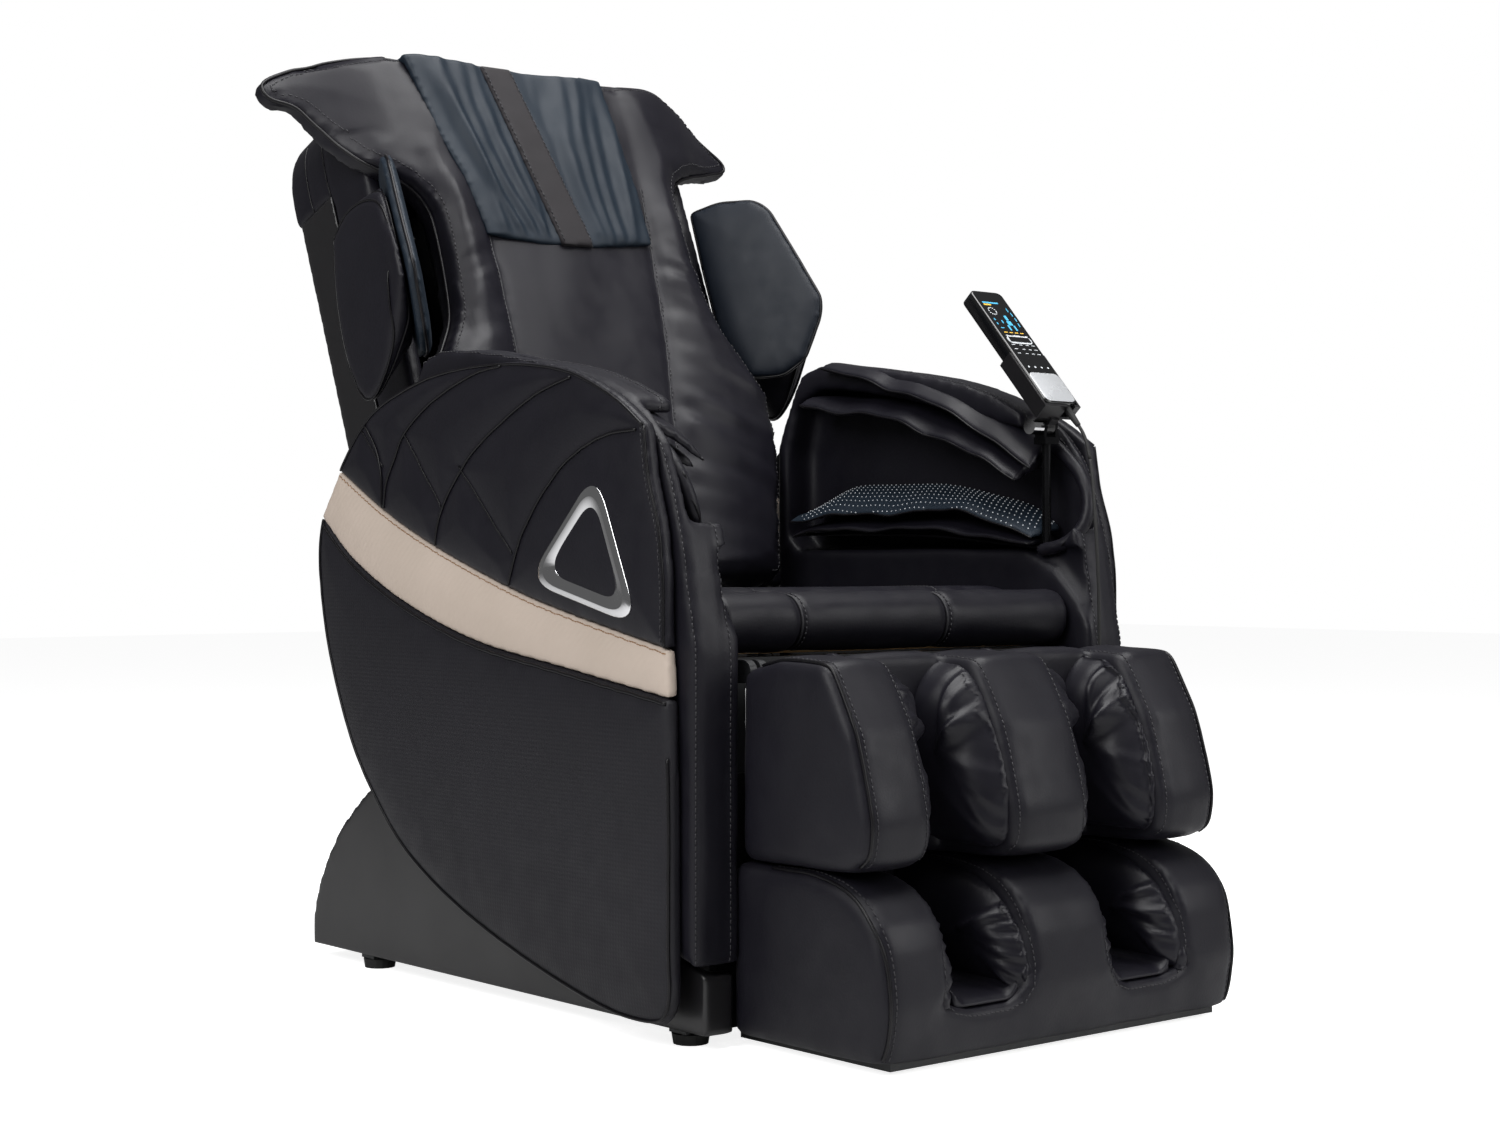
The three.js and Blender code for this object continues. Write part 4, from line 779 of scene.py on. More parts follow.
    def trimmed(self, point: Vector, away: Vector) -> "Blank":
        """Cuts off what lies beyond a plane and leaves the cut open.

        Args:
            point: a point on the plane.
            away: the direction of what is cut off.

        Returns:
            The blank itself.
        """
        geom = [*self.mesh.verts, *self.mesh.edges, *self.mesh.faces]
        bmesh.ops.bisect_plane(
            self.mesh, geom=geom, dist=1e-6, plane_co=point, plane_no=away.normalized(), clear_outer=True
        )
        return self

    def walled(self, thickness: float) -> "Blank":
        """Gives an open skin a wall on its inner side."""
        bmesh.ops.recalc_face_normals(self.mesh, faces=self.mesh.faces[:])
        return self._evaluated("SOLIDIFY", thickness=thickness * MM, offset=-1.0, use_even_offset=True)

    def tree(self) -> BVHTree:
        """The surface, to rest trim on."""
        return BVHTree.FromBMesh(self.mesh)


def swept_cord(lines: Iterable[Sequence[Vector]], radius: float, detail: int = 2) -> Blank:
    """Round cords along lines.

    Args:
        lines: polylines in the row frame.
        radius: of a cord, in millimetres.
        detail: how finely its section is divided.

    Returns:
        The cords as one mesh, with closed ends.
    """
    curve = bpy.data.curves.new("cord", "CURVE")
    curve.dimensions, curve.bevel_depth, curve.bevel_resolution = "3D", radius * MM, detail
    curve.use_fill_caps = True
    for line in lines:
        spline = curve.splines.new("POLY")
        spline.points.add(len(line) - 1)
        for point, spot in zip(spline.points, line):
            point.co = (*spot, 1)
    obj = bpy.data.objects.new("cord", curve)
    bpy.context.scene.collection.objects.link(obj)
    done = bpy.data.meshes.new_from_object(obj.evaluated_get(bpy.context.evaluated_depsgraph_get()))
    bpy.data.objects.remove(obj)
    mesh = bmesh.new()
    mesh.from_mesh(done)
    bmesh.ops.remove_doubles(mesh, verts=mesh.verts[:], dist=1e-6)
    bpy.data.meshes.remove(done)
    return Blank(mesh)


@dataclass
class Trim:
    """Piping and stitches sewn along lines on a surface."""

    surface: BVHTree

    def _rest(self, line: Sequence[Vector], lift: float) -> list[tuple[Vector, Vector]]:
        """The nearest surface point and normal of each point of a line, lifted by millimetres."""
        found = []
        for point in line:
            spot, normal, _, _ = self.surface.find_nearest(point)
            found.append((spot + normal * lift * MM, normal))
        return found

    def piping(self, lines: Iterable[Sequence[Vector]], radius: float, sink: float = 0.2) -> Blank:
        """Cords covered in leather.

        Args:
            lines: polylines in the row frame, near the surface.
            radius: of a cord, in millimetres.
            sink: how much of the radius lies in the surface.

        Returns:
            The cords as one mesh.
        """
        cords = []
        for line in lines:
            rested = [spot for spot, _ in self._rest(line, radius * (1 - 2 * sink))]
            for _ in range(2):
                between = ((a + 2 * b + c) / 4 for a, b, c in zip(rested, rested[1:], rested[2:]))
                rested = [rested[0], *between, rested[-1]]
            cords.append(rested)
        return swept_cord(cords, radius)

    def stitches(
        self, lines: Iterable[Sequence[Vector]], offset: float = 0.0, pitch: float = 7.0, length: float = 4.6
    ) -> Blank:
        """Rows of thread.

        Args:
            lines: polylines in the row frame, near the surface.
            offset: of a row from its line, across the surface, in millimetres.
            pitch: from one stitch to the next, in millimetres.
            length: of a stitch, in millimetres.

        Returns:
            The stitches as one mesh.
        """
        mesh = bmesh.new()
        for line in lines:
            travelled, due = 0.0, pitch / 2
            for a, b in zip(line, line[1:]):
                span = (b - a).length / MM
                while due <= travelled + span and span > 0:
                    spot = a.lerp(b, (due - travelled) / span)
                    along = (b - a).normalized()
                    _, normal, _, _ = self.surface.find_nearest(spot)
                    across = normal.cross(along)
                    rested, normal, _, _ = self.surface.find_nearest(spot + across * offset * MM)
                    along = (along - normal * along.dot(normal)).normalized()
                    turn = Matrix((along.cross(normal), normal, along)).transposed()
                    place = Matrix.Translation(rested + normal * 0.15 * MM) @ turn.to_4x4()
                    bmesh.ops.create_cone(
                        mesh,
                        cap_ends=True,
                        segments=6,
                        radius1=0.75 * MM,
                        radius2=0.75 * MM,
                        depth=length * MM,
                        matrix=place,
                    )
                    due += pitch
                travelled += span
        return Blank(mesh)


@dataclass
class Workshop:
    """Turns blanks into the scene's pieces, and dresses CAD nodes."""

    frame: dict
    datum: Datum
    paint: Paintbox
    count: int = 0

    def node(self, name: str) -> bpy.types.Object:
        """A CAD node."""
        return self.frame["nodes"][name]

    def add(
        self,
        name: str,
        blank: Blank,
        finish: Finish,
        body: str,
        slot: str = "leather",
        replaces: Sequence[str] = (),
        fill: float | None = None,
        flat: bool = False,
    ) -> bpy.types.Object:
        """Makes a piece.

        Args:
            name: of the piece.
            blank: its mesh, which this uses up.
            finish: of its surface.
            body: the body that it rides on.
            slot: the record's material slot.
            replaces: the CAD nodes that it stands for.
            fill: how tight its stuffing is, where it is padded.
            flat: whether its faces stay flat.

        Returns:
            The piece.
        """
        mesh = bpy.data.meshes.new(name)
        for face in blank.mesh.faces:
            face.smooth = not flat
        blank.mesh.to_mesh(mesh)
        blank.mesh.free()
        mesh.materials.append(self.paint.get(finish))
        piece = bpy.data.objects.new(name, mesh)
        bpy.context.scene.collection.objects.link(piece)
        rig.ride(piece, body)
        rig.slot(piece, slot)
        if replaces:
            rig.replaces(piece, *replaces)
        if fill is not None:
            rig.padded(piece, fill=fill)
        self.count += 1
        log.info("%s on %s: %d faces", name, body, len(mesh.polygons))
        return piece

    def dress(self, finish: Finish, *names: str) -> None:
        """Gives CAD nodes a finish."""
        for name in names:
            for slot in self.node(name).material_slots:
                slot.material = self.paint.get(finish)


SIDES = (("left", 1), ("right", -1))


# --------------------------------------------------------------------------------------------- base
@dataclass
class Base:
    """The plastic base, its feet and what it hides."""

    shop: Workshop
    half: float = 333.0
    wall: float = 4.0
    tail: tuple[Point, ...] = (
        (100, 245), (150, 250), (215, 255), (272, 228), (340, 170), (388, 100), (406, 38), (402, 18),
    )

    def _cover(self, sign: int) -> Blank:
        """One side cover: a moulded plate with soft edges."""
        place = self.shop.datum.side
        outline = [(-450, 16), (-450, 84), *((p.x, p.y) for p in smooth_line(self.tail, 14))]
        plate = Blank.slab(outline, place, sign * (self.half - 14), sign * self.half)
        corner = Blank.slab([(-450, 16), (-450, 84), (-420, 84), (-420, 16)], place, sign * 292, sign * self.half)
        blank = Blank.joined(plate, corner).remesh(4.5).relax(3)
        return blank

    def build(self) -> None:
        """Makes the base."""
        for side, sign in SIDES:
            self.shop.add(
                f"base_cover_shell_{side}", self._cover(sign), Finish.SHELL, "base", "cover", [f"base_cover_{side}"]
            )
        self.shop.dress(Finish.SHELL, "base_front_cover", "base_rear_cover")
        self.shop.dress(
            Finish.RUBBER, *(f"foot_{end}_{side}" for end in ("front", "rear") for side, _ in SIDES), "power_inlet"
        )
        self.shop.dress(Finish.GLOSS, "power_switch")
        self.shop.dress(Finish.STEEL, "base_frame")
        self.shop.dress(Finish.ZINC, "control_and_air_unit")


# --------------------------------------------------------------------------------------------- seat
@dataclass
class Seat:
    """The seat cushion and the roll at its front."""

    shop: Workshop
    roll_y: float = -392.0
    roll_z: float = 468.0
    roll_radius: float = 34.0
    roll_half: float = 284.0

    def _roll(self) -> Blank:
        """The roll: a tube of leather that the seams pull in."""
        ring = [
            (
                self.roll_y + self.roll_radius * math.cos(a),
                self.roll_z + self.roll_radius * math.sin(a) + (2.0 if math.sin(a) > 0 else 0.0),
            )
            for a in (math.tau * i / 40 for i in range(40))
        ]
        return Blank.slab(ring, self.shop.datum.side, -self.roll_half + 3, self.roll_half - 3).remesh(4.5).relax(4)

    def _seam_lines(self) -> list[list[Vector]]:
        """The two seams over the front of the roll."""
        turns = [math.tau * i / 60 for i in range(10, 46)]
        return [
            [self.shop.datum.at(x, self.roll_y + 35 * math.cos(a), self.roll_z + 35.5 * math.sin(a)) for a in turns]
            for x in (-168.0, 66.0)
        ]

    def build(self) -> None:
        """Makes the seat."""
        shop = self.shop
        seams = Seams(self._seam_lines())
        roll = self._roll().press(
            lambda co, no: seams.groove(co, 4.6, 6.0)
            + 1.6 * MM * noise.noise(Vector((co.x * 18, co.y * 30, co.z * 30)))
        )
        trim = Trim(roll.tree())
        sewn = Blank.joined(trim.stitches(self._seam_lines(), 5.0), trim.piping(self._seam_lines(), 1.4, 0.2))
        shop.add("seat_roll_stitches", sewn, Finish.THREAD, "base")
        shop.add("seat_roll_cover", roll, Finish.HIDE, "base", replaces=["seat_roll"], fill=0.8)
        cushion = Blank.of_node(shop.node("seat_cushion")).remesh(8).relax(4).billow(9)
        centre = Seams([[shop.datum.at(x, -345, 500), shop.datum.at(x, 90, 492)] for x in (-150, 150)])
        cushion.press(lambda co, no: centre.groove(co, 5.0, 7.0) if no.z > 0.3 else 0.0)
        trim = Trim(cushion.tree())
        rows = [[shop.datum.at(x, y, 515) for y in range(-340, 60, 8)] for x in (-150, 150)]
        shop.add("seat_cushion_stitches", trim.stitches(rows, 5.0), Finish.THREAD, "base")
        shop.add("seat_cushion_cover", cushion, Finish.HIDE_SOFT, "base", replaces=["seat_cushion"], fill=0.75)
        shop.dress(Finish.PLYWOOD, "seat_pan")


# --------------------------------------------------------------------------------------------- arms
@dataclass
class Arm:
    """One arm: its upholstered side, its padded body and the air cushions in its hand channel."""

    shop: Workshop
    side: str
    sign: int
    rise: float = 0.0  # how much fuller the top is stuffed, in millimetres
    cuff_back: float = 0.0  # how much further back the cuff sits, in millimetres
    panel_in: float = 353.0
    panel_out: float = 369.0
    band_top: tuple[Point, ...] = ((272, 657), (162, 603), (37, 555), (-124, 506), (-244, 478), (-427, 442))
    band_bottom: tuple[Point, ...] = ((318, 598), (234, 540), (111, 487), (-49, 443), (-236, 416), (-431, 389))
    arch: tuple[Point, ...] = (
        (272, 657), (230, 700), (183, 733), (111, 757), (18, 774), (-114, 777), (-237, 762), (-330, 728), (-388, 692),
    )
    front: tuple[Point, ...] = ((-390, 690), (-399, 634), (-417, 579), (-425, 524), (-427, 442))
    sweep: tuple[Point, ...] = (
        (-434, 323), (-436, 120), (-438, 70), (-430, 42), (-403, 28), (-314, 32), (-156, 68), (-5, 117), (111, 174),
        (188, 240), (246, 312), (300, 425), (323, 530), (318, 598),
    )
    arcs: tuple[tuple[Point, ...], ...] = (
        ((205, 716), (180, 690), (166, 664), (161, 640), (163, 606)),
        ((-109, 775), (-40, 764), (46, 736), (107, 700), (134, 664), (150, 640), (158, 606)),
        ((-252, 752), (-180, 734), (-109, 704), (-50, 672), (0, 628), (26, 592), (38, 557)),
        ((-375, 686), (-330, 683), (-290, 674), (-240, 652), (-190, 612), (-150, 565), (-123, 508)),
    )
    creases: tuple[tuple[Point, Point], ...] = (
        ((110, 702), (22, 606)),
        ((-18, 655), (-132, 548)),
        ((212, 708), (160, 660)),
    )
    ring: tuple[Point, ...] = ((-310, 644), (-390, 466), (-174, 516))

    def _row(self, points: Sequence[Sequence[float]], x: float, step: float = 6.0) -> list[Vector]:
        """A smooth side-view line on the arm, as row-frame points."""
        return [self.shop.datum.at(self.sign * x, p[0], p[1]) for p in smooth_line(points, step)]

    def _panel(
        self, outline: list[Vector], lines: list[list[Vector]], height: float, voxel: float = 4.5
    ) -> tuple[Blank, BVHTree]:
        """An upholstered panel, crowned between its seams.

        Args:
            outline: its side-view corners.
            lines: seams within it, in the row frame.
            height: of its crown, in millimetres.
            voxel: the size of its mesh, in millimetres.

        Returns:
            The blank, and its surface to sew trim on.
        """
        place = self.shop.datum.side
        low, high = self.sign * self.panel_in, self.sign * self.panel_out
        blank = Blank.slab(outline, place, low, high).remesh(voxel).relax(3)
        edge = [self.shop.datum.at(self.sign * self.panel_out, p.x, p.y) for p in [*outline, outline[0]]]
        seams = Seams([edge, *lines])
        inner = Seams(lines) if lines else None

        def shape(co: Vector, no: Vector) -> float:
            """The crown and the pull of the seams on the outer face."""
            if no.x * self.sign < 0.2:
                return 0.0
            lift = seams.crown(co, height, 26.0)
            return lift + (inner.groove(co, 3.0, 5.0) if inner else 0.0)

        blank.press(shape)
        return blank, blank.tree()

    def _side(self) -> None:
        """The outer side: arched panel, cream band and lower panel."""
        shop, sign = self.shop, self.sign
        face = self.panel_out + 6
        arcs = [self._row(arc, face) for arc in self.arcs]
        creases = [self._row(crease, face) for crease in self.creases]
        top = [p for p in smooth_line(self.arch, 8)] + [Vector(p) for p in self.front[:-1]]
        upper_outline = top + [Vector((p.x, p.y + 1)) for p in reversed(smooth_line(self.band_top, 10))]
        upper, skin = self._panel(upper_outline, arcs + creases, 10.0)
        trim = Trim(skin)
        shop.add(
            f"side_arch_piping_{self.side}",
            trim.piping([*arcs, self._row(self.arch, face), self._row(self.front, face)], 1.7),
            Finish.PIPING,
            "base",
        )
        shop.add(f"side_arch_creases_{self.side}", trim.piping(creases, 1.2, 0.35), Finish.PIPING, "base")
        rows = trim.stitches([self._row(self.front, face)], 6.0 * sign)
        shop.add(f"side_arch_stitches_{self.side}", rows, Finish.THREAD, "base")
        shop.add(f"side_arch_{self.side}", upper, Finish.HIDE, "base", replaces=[f"side_panel_{self.side}"], fill=0.5)
        band_outline = smooth_line(self.band_top, 10) + list(reversed(smooth_line(self.band_bottom, 10)))
        band, skin = self._panel(band_outline, [], 4.0, 4.0)
        trim = Trim(skin)
        seam = [self._row([(y, z - 3) for y, z in self.band_top], face)]
        shop.add(f"side_band_stitches_{self.side}", trim.stitches(seam, 0.0, 4.6, 3.2), Finish.TAN_THREAD, "base")
        shop.add(f"side_band_{self.side}", band, Finish.CREAM, "base", fill=0.3)
        lower_outline = [Vector((p.x, p.y - 1)) for p in smooth_line(self.band_bottom, 10)]
        lower_outline += smooth_line(self.sweep, 12)[:-1]
        lower, skin = self._panel(lower_outline, [], 8.0, 5.0)
        trim = Trim(skin)
        edge = [(y, z - 4) for y, z in self.band_bottom]
        shop.add(
            f"side_lower_piping_{self.side}",
            trim.piping([self._row(edge, face), self._row(self.sweep, face)], 2.0),
            Finish.PIPING,
            "base",
        )
        shop.add(f"side_lower_{self.side}", lower, Finish.CHARCOAL, "base", fill=0.5)

    def _triangle(self, scale: float) -> list[Point]:
        """The rounded triangle of the ring, about its middle."""
        cy, cz = (sum(p[i] for p in self.ring) / 3 for i in (0, 1))
        corners = [(cy + (y - cy) * scale, cz + (z - cz) * scale) for y, z in self.ring]
        line: list[Point] = []
        for i, (y, z) in enumerate(corners):
            before, after = corners[i - 1], corners[(i + 1) % 3]
            start = (y + (before[0] - y) * 0.26, z + (before[1] - z) * 0.26)
            end = (y + (after[0] - y) * 0.26, z + (after[1] - z) * 0.26)
            for k in range(11):
                t = k / 10
                line.append(
                    tuple((1 - t) ** 2 * a + 2 * t * (1 - t) * b + t * t * c for a, b, c in zip(start, (y, z), end))
                )
        return line

    def _ring(self) -> None:
        """The plated ring and the padded insert inside it."""
        shop, place = self.shop, self.shop.datum.side
        outer, inner = self._triangle(1.0), self._triangle(0.64)
        mesh = bmesh.new()
        loops = []
        for line, x in ((outer, 375.0), (outer, 378.6), (self._triangle(0.86), 380.9), (inner, 377.4), (inner, 375.0)):
            loops.append([mesh.verts.new(place(p[0], p[1], self.sign * x)) for p in line])
        edges = [[mesh.edges.new((a, b)) for a, b in zip(loop, [*loop[1:], loop[0]])] for loop in loops]
        for a, b in zip(edges, [*edges[1:], edges[0]]):
            bmesh.ops.bridge_loops(mesh, edges=a + b)
        bmesh.ops.recalc_face_normals(mesh, faces=mesh.faces[:])
        ring = Blank(mesh).bevel(0.7, 2, 18)
        shop.add(f"ring_{self.side}", ring, Finish.CHROME, "base", "chrome", [f"trim_ring_{self.side}"])
        insert = Blank.slab(self._triangle(0.66), place, self.sign * 371, self.sign * 377.2).remesh(3.0).relax(4)
        shop.add(f"ring_insert_{self.side}", insert, Finish.HIDE, "base", fill=0.4)

    def _body(self) -> None:
        """The padded body round the hand channel."""
        shop, sign, at = self.shop, self.sign, self.shop.datum.at
        blank = Blank.of_node(shop.node(f"arm_frame_{self.side}")).remesh(6.0).relax(4)
        front = ((-456, 96), (-457, 250), (-457, 400), (-455, 450), (-440, 520), (-433, 562), (-396, 668), (-330, 722))
        top = ((-330, 724), (-230, 762), (-114, 784), (0, 800), (62, 804), (110, 790))
        lines = [[at(sign * x, p.x, p.y) for p in smooth_line((*front, *top[1:]), 6)] for x in (346.0, 306.0)]
        seams = Seams(lines)
        blank.press(
            lambda co, no: seams.groove(co, 2.0, 4.0)
            + 1.5 * MM * noise.noise(Vector((co.x * 25, co.y * 12, co.z * 12)))
            if no.z > 0.25 or no.y < -0.25
            else 0.0
        )

        def fuller(point: Vector) -> Vector:
            """How far a point near the top is raised."""
            return Vector((0, 0, self.rise * MM * ramp(point.z, 0.66, 0.78)))

        blank.press(lambda co, no: fuller(co))
        lines = [[p + fuller(p) for p in line] for line in lines]
        trim = Trim(blank.tree())
        shop.add(
            f"arm_front_stitches_{self.side}",
            Blank.joined(trim.stitches([lines[0]], -5.0 * sign), trim.stitches([lines[1]], 5.0 * sign)),
            Finish.THREAD,
            "base",
        )
        shop.add(f"arm_body_{self.side}", blank, Finish.HIDE, "base", replaces=[f"arm_frame_{self.side}"], fill=0.6)

    def _edge(self, points: Sequence[Point], x: float, wave: float, phase: float) -> list[Vector]:
        """A wavy line along the hand channel."""
        line = []
        for i, p in enumerate(smooth_line(points, 6)):
            lift = wave * (math.sin(i / 5.3 + phase) + 0.5 * math.sin(i / 2.3 + 2 * phase))
            lift += self.rise * ramp(p.y, 650, 760)
            line.append(self.shop.datum.at(self.sign * (x + 0.5 * wave * math.cos(i / 4.1)), p.x, p.y + lift))
        return line

    def _cushions(self) -> None:
        """The air cushions that close on the forearm, each a padded flap with a piped edge."""
        shop, tag = self.shop, self.side
        flaps = (
            (
                "rim_flap",
                ((36, 790), (-60, 772), (-107, 757), (-190, 733), (-279, 702), (-330, 678), (-369, 654)),
                ((36, 792), (-107, 776), (-200, 750), (-279, 726), (-355, 690)),
                268.0, 328.0, 13.0, 5.0, 2.6, Finish.HIDE_SOFT,
            ),
            (
                "upper_flap",
                ((78, 743), (0, 735), (-81, 724), (-150, 712), (-217, 694), (-280, 672), (-345, 646)),
                ((78, 752), (-81, 742), (-217, 716), (-338, 668)),
                263.0, 332.0, 15.0, 4.0, 3.4, Finish.HIDE_SOFT,
            ),
            (
                "dotted_flap",
                ((102, 596), (29, 602), (-60, 603), (-130, 606), (-198, 606), (-260, 602), (-321, 588), (-372, 570)),
                ((100, 604), (29, 640), (-60, 643), (-166, 640), (-250, 624), (-321, 608), (-366, 580)),
                266.0, 330.0, 10.0, 4.0, 2.8, Finish.SLATE,
            ),
            (
                "lower_flap",
                ((96, 577), (29, 581), (-60, 584), (-198, 580), (-300, 571), (-366, 558)),
                ((96, 590), (-60, 600), (-198, 598), (-300, 586), (-360, 566)),
                268.0, 330.0, 10.0, 2.0, 2.6, Finish.HIDE_SOFT,
            ),
        )
        stands_for = {"upper_flap": "arm_upper_cushion", "dotted_flap": "arm_lower_cushion"}
        for i, (name, free, root, x0, x1, thick, crown, wave, finish) in enumerate(flaps):
            edge = self._edge(free, x0, wave, i * 1.7 + self.sign * 0.6)
            blank = Blank.leaf(edge, self._edge(root, x1, 0.0, 0.0), thick, crown).remesh(3.6).relax(2)
            surface = blank.tree()
            trim = Trim(surface)
            shop.add(f"{name}_piping_{tag}", trim.piping([edge], 1.5), Finish.PIPING, "base")
            if finish is Finish.SLATE:
                shop.add(f"{name}_dots_{tag}", self._dots(surface), Finish.WHITE_THREAD, "base", "perforated_leather")
            replaced = [f"{stands_for[name]}_{tag}"] if name in stands_for else []
            slot = "perforated_leather" if finish is Finish.SLATE else "leather"
            shop.add(f"{name}_{tag}", blank, finish, "base", slot, replaced, fill=0.45)

    def _dots(self, surface: BVHTree) -> Blank:
        """Rows of pin dots woven into a flap."""
        dots = bmesh.new()
        for i in range(8):
            for k in range(50):
                start = self.shop.datum.at(self.sign * (269 + i * 8.0), -362 + k * 9.0 + 4.5 * (i % 2), 700)
                spot, normal, _, _ = surface.ray_cast(start, Vector((0, 0, -1)))
                if spot is not None and normal.z > 0.1:
                    bmesh.ops.create_icosphere(
                        dots, subdivisions=1, radius=1.1 * MM, matrix=Matrix.Translation(spot + normal * 0.1 * MM)
                    )
        return Blank(dots)

    def _cuff(self) -> None:
        """The padded cuff round the front of the hand channel, and the piping on the channel's inner wall."""
        shop, at = self.shop, self.shop.datum.at
        path = (
            (322, -338, 706), (326, -368, 684), (324, -404, 652), (318, -424, 616), (308, -424, 584), (296, -404, 562),
            (290, -366, 553),
        )
        line = [at(self.sign * p.x, p.y + self.cuff_back, p.z) for p in smooth_line(path, 5)]
        cuff = swept_cord([line], 9, 5).remesh(3.2).relax(3)
        trim = Trim(cuff.tree())
        shop.add(f"hand_cuff_piping_{self.side}", trim.piping([line], 1.5), Finish.PIPING, "base")
        shop.add(f"hand_cuff_{self.side}", cuff, Finish.HIDE, "base", fill=0.5)
        rest = smooth_line(((101, 578), (-60, 577), (-198, 572), (-369, 557)), 6)
        lip = [at(self.sign * 288, p.x, p.y) for p in rest]
        shop.add(f"hand_rest_piping_{self.side}", swept_cord([lip], 2.2), Finish.PIPING, "base")

    def build(self) -> None:
        """Makes the arm."""
        self._side()
        self._ring()
        self._body()
        self._cushions()
        self._cuff()


# --------------------------------------------------------------------------------------------- back
@dataclass
class Back:
    """The reclining back: pad with its hood, head pillow, surround, shell and shoulder pads."""

    shop: Workshop
    front: float = -84.0
    rear: float = -38.5
    right_edge: tuple[Point, ...] = (
        (-206, 88), (-232, 100), (-250, 180), (-262, 260), (-266, 340), (-262, 392), (-243, 432), (-222, 474),
        (-215, 540), (-213, 609), (-219, 648), (-236, 672), (-262, 692), (-300, 716), (-340, 768), (-368, 806),
        (-394, 814), (-404, 822), (-409, 842), (-398, 852), (-368, 868), (-330, 874), (-270, 876), (-205, 872),
    )
    left_edge: tuple[Point, ...] = (
        (206, 88), (232, 100), (256, 180), (280, 262), (290, 330), (288, 384), (266, 432), (240, 484), (225, 560),
        (220, 630), (224, 688), (232, 722), (254, 742), (300, 762), (356, 780), (386, 792), (399, 800), (402, 812),
        (388, 826), (352, 846), (306, 868), (250, 884), (190, 886), (110, 880),
    )
    crown: tuple[Point, ...] = ((-205, 872), (-120, 859), (-40, 858), (40, 868), (110, 880))
    right_seam: tuple[Point, ...] = (
        (-160, 862), (-152, 720), (-142, 592), (-141, 470), (-146, 360), (-142, 240), (-140, 96),
    )
    left_seam: tuple[Point, ...] = ((150, 880), (148, 720), (140, 592), (126, 470), (104, 350), (84, 220), (78, 96))
    pillow_bottom: float = 592.0
    pillow_top: float = 868.0
    wing_face: tuple[tuple[float, float, float], ...] = (
        (268, -52, 600), (269, -56, 690), (291, -97, 688), (318, -140, 672), (328, -156, 650), (340, -174, 568),
        (350, -191, 488), (346, -184, 462), (326, -150, 408), (306, -118, 396), (282, -76, 410), (268, -50, 480),
    )
    wing_oval: tuple[Point, ...] = (
        (-24, 606), (-70, 622), (-122, 613), (-154, 584), (-156, 520), (-122, 422), (-72, 372), (-22, 362), (4, 427),
        (0, 520),
    )

    def _outline(self) -> list[Vector]:
        """The pad's outline, up the right, over the crown and down the left, in millimetres."""
        right = smooth_line(self.right_edge, 8)
        top = smooth_line(self.crown, 8)[1:-1]
        left = smooth_line(self.left_edge, 8)
        return [*right, *top, *reversed(left)]

    def _sweep(self, x: float, z: float) -> float:
        """How far the hood's tips lean back, in millimetres."""
        return 44.0 * ramp(abs(x), 200, 400) * ramp(z, 640, 760)

    def _rim(self, inset: float, depth: float) -> list[Vector]:
        """The outline moved in, at a depth, as row-frame points."""
        outline = self._outline()
        line = []
        for before, p, after in zip(outline, outline[1:], outline[2:]):
            along = (after - before).normalized()
            moved = p + Vector((along.y, -along.x)) * inset
            line.append(self.shop.datum.on_back(moved.x, depth + self._sweep(moved.x, moved.y), moved.y))
        return line

    def _pad(self) -> None:
        """The back pad: side bolsters, middle panel and hood."""
        shop, datum = self.shop, self.shop.datum
        outline = [p for i, p in enumerate(self._outline()) if i % 2 == 0]
        blank = Blank.slab(outline, datum.back_front, self.front, self.rear).remesh(6.0).relax(3)
        forward = datum.on_back(0, -1, 0) - datum.on_back(0, 0, 0)

        def lean(co: Vector, no: Vector) -> Vector:
            """Leans the hood's tips back and thins them."""
            x, y, z = datum.back_local(co)
            sweep = self._sweep(x, z)
            thin = 0.62 * sweep / 44.0
            return forward * ((y - self.rear) * thin - sweep)

        blank.press(lean)
        blank.billow(7, 3.0, 12)
        folds = [
            [datum.on_back(p.x, self.front, p.y) for p in smooth_line(seam, 6)]
            for seam in (self.right_seam, self.left_seam)
        ]
        rim = self._rim(0, self.front + 16)
        seams, inner = Seams([rim, *folds]), Seams(folds)
        stitched = Seams([self._rim(9, self.front + 4)])

        def shape(co: Vector, no: Vector) -> Vector:
            """Bolsters, grooves and the creases that sitting leaves."""
            x, _, z = datum.back_local(co)
            facing = ramp(no.dot(forward) * 1000, 0.15, 0.7)
            middle = -144 if x < 0 else 78 + 70 * ramp(z, 200, 600)
            side = ramp(abs(x), abs(middle) - 14, abs(middle) + 10)
            hood = ramp(z, 640, 720)
            lift = seams.crown(co, (5.0 + 15.0 * side) * (1 - 0.6 * hood), 30.0) / MM
            lift += inner.groove(co, 7.0 * (1 - hood), 7.0) / MM + stitched.groove(co, 1.6, 3.5) / MM
            waist = math.exp(-(((z - 320) / 150) ** 2)) * side * ramp(seams.gap(co), 2, 26)
            skew = z * 0.030 + abs(x) * 0.012
            lift += 8.0 * waist * noise.noise(Vector((x * 0.006 + 3, skew, 0.3)))
            neck = math.exp(-(((z - 540) / 70) ** 2)) * side
            lift += 4.0 * neck * noise.noise(Vector((x * 0.010, z * 0.045 + abs(x) * 0.02, 4.0)))
            lift += 3.0 * (1 - side) * noise.noise(Vector((x * 0.014, z * 0.006, 7.0)))
            lift += 3.0 * hood * noise.noise(Vector((x * 0.010, z * 0.012, 2.0)))
            return forward * lift * facing

